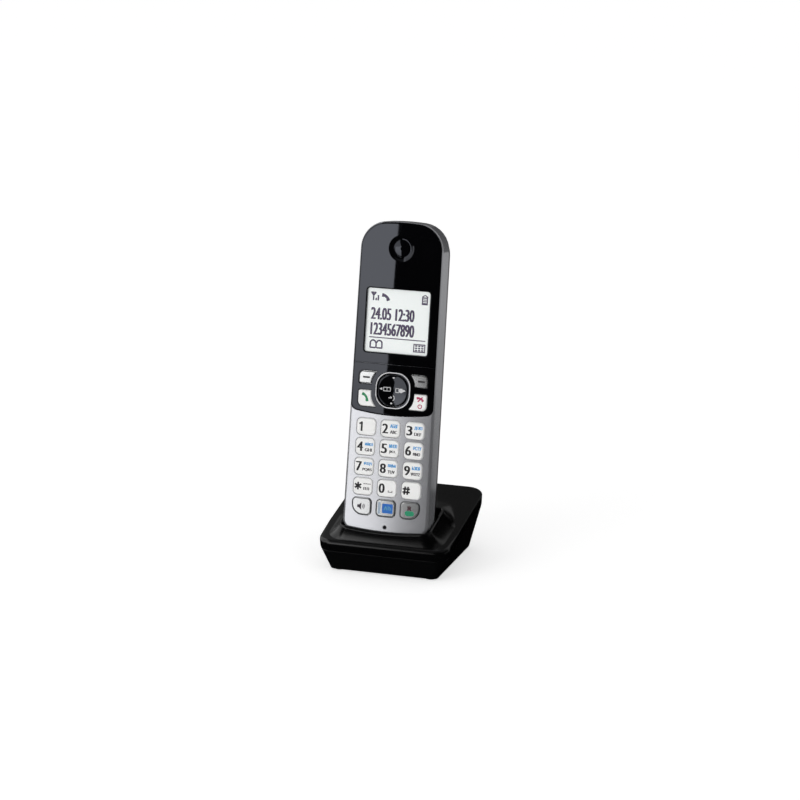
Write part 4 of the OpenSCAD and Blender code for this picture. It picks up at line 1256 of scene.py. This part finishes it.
x, v = key_centre(0, 0)
cone = [(-2.4, -0.8), (-1.3, -0.8), (-0.1, -2.0), (-0.1, 2.0), (-1.3, 0.8), (-2.4, 0.8)]
speaker = [outlined([(x + across, v + up) for across, up in cone])]
speaker += [band((x - 0.1, v), r, 0.4, -50, 50, 10) for r in (1.0, 1.8)]
printed("speaker_sign", speaker, letter_ink, "speaker_key")
x, v = key_centre(1, 0)
page_x, page_v = x + 1.15, v - 0.9
patch_blue, pale_blue = ink("patch_blue", (0.01, 0.17, 0.66)), ink("pale_blue", (0.45, 0.56, 0.68))
printed("page_patch", [plate(page_x, v, 6.1, 5.2, 0.6)], patch_blue, "page_key")
printed("page_strip", [plate(x - 3.55, v, 1.5, 6.6, 0.5)], pale_blue, "page_key")
printed("page_sign", [stroke((page_x - 1.9, page_v), (page_x - 1.0, page_v + 2.0), 0.45),
                      stroke((page_x - 1.0, page_v + 2.0), (page_x - 0.2, page_v), 0.45)]
        + [band((page_x + 0.1, page_v), r, 0.4, 0, 90, 8) for r in (1.0, 1.9)],
        ink("pale_ink", (0.16, 0.50, 0.60)), "page_key", 0.01)
x, v = key_centre(2, 0)
printed("recall_letter", bold("R", (x, v + 1.35), 2.5, 2.0, 0.25),
        ink("wine_ink", (0.07, 0.02, 0.03)), "recall_key")
leaf = arc((x - 1.3, v - 1.5), 1.35, 90, 270, 10) + arc((x + 1.3, v - 1.5), 1.35, -90, 90, 10)
printed("recall_leaf", [outlined(leaf)], ink("leaf_green", (0.01, 0.35, 0.17)), "recall_key")


# --------------------------------------
# Keys beside the navigation key: two pearly soft keys, and the white talk and
# off keys, each cut away around the ring and printed with its sign.
def side_key(node, side, keys, material):
    """A cap with a rounded top edge, cut away around the ring, on a lip that keeps it in."""
    levels = [(inset, depth - key_proud)
              for inset, depth in ((0.5, 0.0), (0.28, 0.07), (0.1, 0.25), (0.0, 0.5))]
    cap = stacked(node + "_cap", lambda inset: side_outline(side, *keys, -key_gap - inset),
                  levels + [(0.0, 1.7)])
    around = [(0.5, -3.0)] + [(inset, depth - 0.01) for inset, depth in levels] + [(0.0, 4.0)]
    inner = nav_bay_half + key_gap
    carve(cap, [stacked("around", lambda inset: nav_square(inner + inset), around)])
    lip = stacked("lip", lambda grow: side_outline(side, *keys, grow),
                  ((lip_out, face_wall), (lip_out, face_wall + lip_thick)))
    inner = nav_bay_half - lip_out
    carve(lip, [stacked("around", nav_square, ((inner, 1.0), (inner, 3.0)))])
    carve(cap, [lip], "UNION")
    own(tidy(cap, 40), node, node, material)


side_key("soft_key_left", -1, soft_keys, pearl_key)
side_key("soft_key_right", 1, soft_keys, pearl_key)
side_key("talk_key", -1, call_keys, milky_key_painted_glow)
side_key("off_key", 1, call_keys, milky_key_painted_glow)
printed("soft_left_dash", [plate(-15.3, soft_keys[0], 3.9, 0.95)], digit_ink, "soft_key_left")
printed("soft_right_dash", [plate(16.1, soft_keys[0], 3.9, 0.95)], digit_ink, "soft_key_right")
printed("talk_sign", [receiver(-15.3, nav_v - 4.6, 6.0, -54, 1.05)],
        ink("talk_green", (0.01, 0.30, 0.11)), "talk_key")
crimson = ink("crimson", (0.55, 0.02, 0.12))
printed("off_sign", [receiver(16.0, nav_v - 3.3, 4.8, -22, 1.05),
                     stroke((14.7, nav_v - 4.7), (17.3, nav_v - 2.1), 0.75)], crimson, "off_key")
printed("power_sign", [band((16.0, nav_v - 7.2), 1.05, 0.5, 120, 420, 24),
                       plate(16.0, nav_v - 6.45, 0.5, 1.2)], crimson, "off_key")


# --------------------------------------
# Navigation key: a polished black dish that tips four ways inside a bright,
# rounded ring pressed into the lower panel. The dish is slightly hollow.
bright = Look("bright_metal")
slow = bright.noise(400.0)
bright.colour(slow, (0.93, 0.93, 0.95), (0.98, 0.98, 1.0))
bright.set("Roughness", 0.22 + 0.08 * slow)
bright.set("Metallic", 0.1)


def ring_around(name, levels):
    """A ring about the navigation key, whose skin closes on itself."""
    rings = [at_depth(nav_square(nav_ring_half - inset), depth) for inset, depth in levels]
    return tidy(loft(name, rings + [rings[0]], hand, closed=False))


bright_ring = ring_around("navigation_ring", (
    (0.0, 1.45), (0.0, -0.12), (0.06, -0.24), (0.16, -0.3), (0.36, -0.3), (0.46, -0.24),
    (0.52, -0.12), (0.52, 1.3), (nav_ring_t, 1.35), (nav_ring_t, 1.45)))
own(bright_ring, "handset", "nav_ring", bright.material)
# Painted shade: a black step under the ring's inner lip hides the ring's bright ledge, so the gap
# between ring and key reads dark.
step_in = nav_ring_t - 0.02
gap_shade_step = ring_around("ring_gap_shade", ((0.56, 1.2), (0.56, 0.2), (step_in, 0.25), (step_in, 1.2)))
own(gap_shade_step, "handset", None, panel_black)

dish_curve, key_rim, key_top = 62.0, nav_half - 0.4, 0.46


def dish_height(x, v):
    """Height of the hollow dish above the face."""
    from_middle = min(nav_half ** 2, x * x + (v - nav_v) ** 2)
    return key_top - (nav_half ** 2 - from_middle) / (2 * dish_curve)


rim_levels = ((nav_half, 2.3), (nav_half, -0.15), (nav_half - 0.12, -0.36), (key_rim, -key_top))
key_rings = [at_depth(nav_square(half), depth) for half, depth in rim_levels]
for k in range(1, 12):
    key_rings.append([(x, v, dish_height(x, v)) for x, v in nav_square(key_rim * (1 - k / 12))])
nav_cap = loft("navigation_cap", key_rings, hand)
own(tidy(nav_cap, 50), "nav_cap", "nav_key", panel_black)

signs = [dot(0.2, nav_v + 7.1, 0.6), dot(-0.4, nav_v - 7.0, 0.55)]
signs += [outlined([(tip, nav_v + up), (tail, nav_v + up - 0.7), (tail, nav_v + up + 0.7)])
          for tip, tail, up in ((-7.6, -6.0, 0.6), (7.5, 5.9, 0.4))]
signs.append(dot(4.7, nav_v + 0.3, 1.25))
signs += box(-3.35, nav_v + 0.55, 4.1, 2.3, 0.34) + [plate(-3.35, nav_v + 0.55, 0.3, 1.7)]
signs += box(2.6, nav_v + 0.3, 2.2, 2.5, 0.34)
signs += [stroke((-2.2, nav_v - 4.0), (-0.4, nav_v - 4.0), 0.4),
          stroke((-1.2, nav_v - 3.2), (-0.3, nav_v - 4.0), 0.4),
          band((-0.4, nav_v - 4.1), 1.5, 0.42, -62, 62, 10)]
flat("nav_signs", signs, lambda x, v: -dish_height(x, v) - 0.02,
     ink("white_ink", (0.75, 0.75, 0.76)), "nav_cap")


# --------------------------------------
# Sizes: the box of every shown piece, the studio's sheets left out.
low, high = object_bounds()
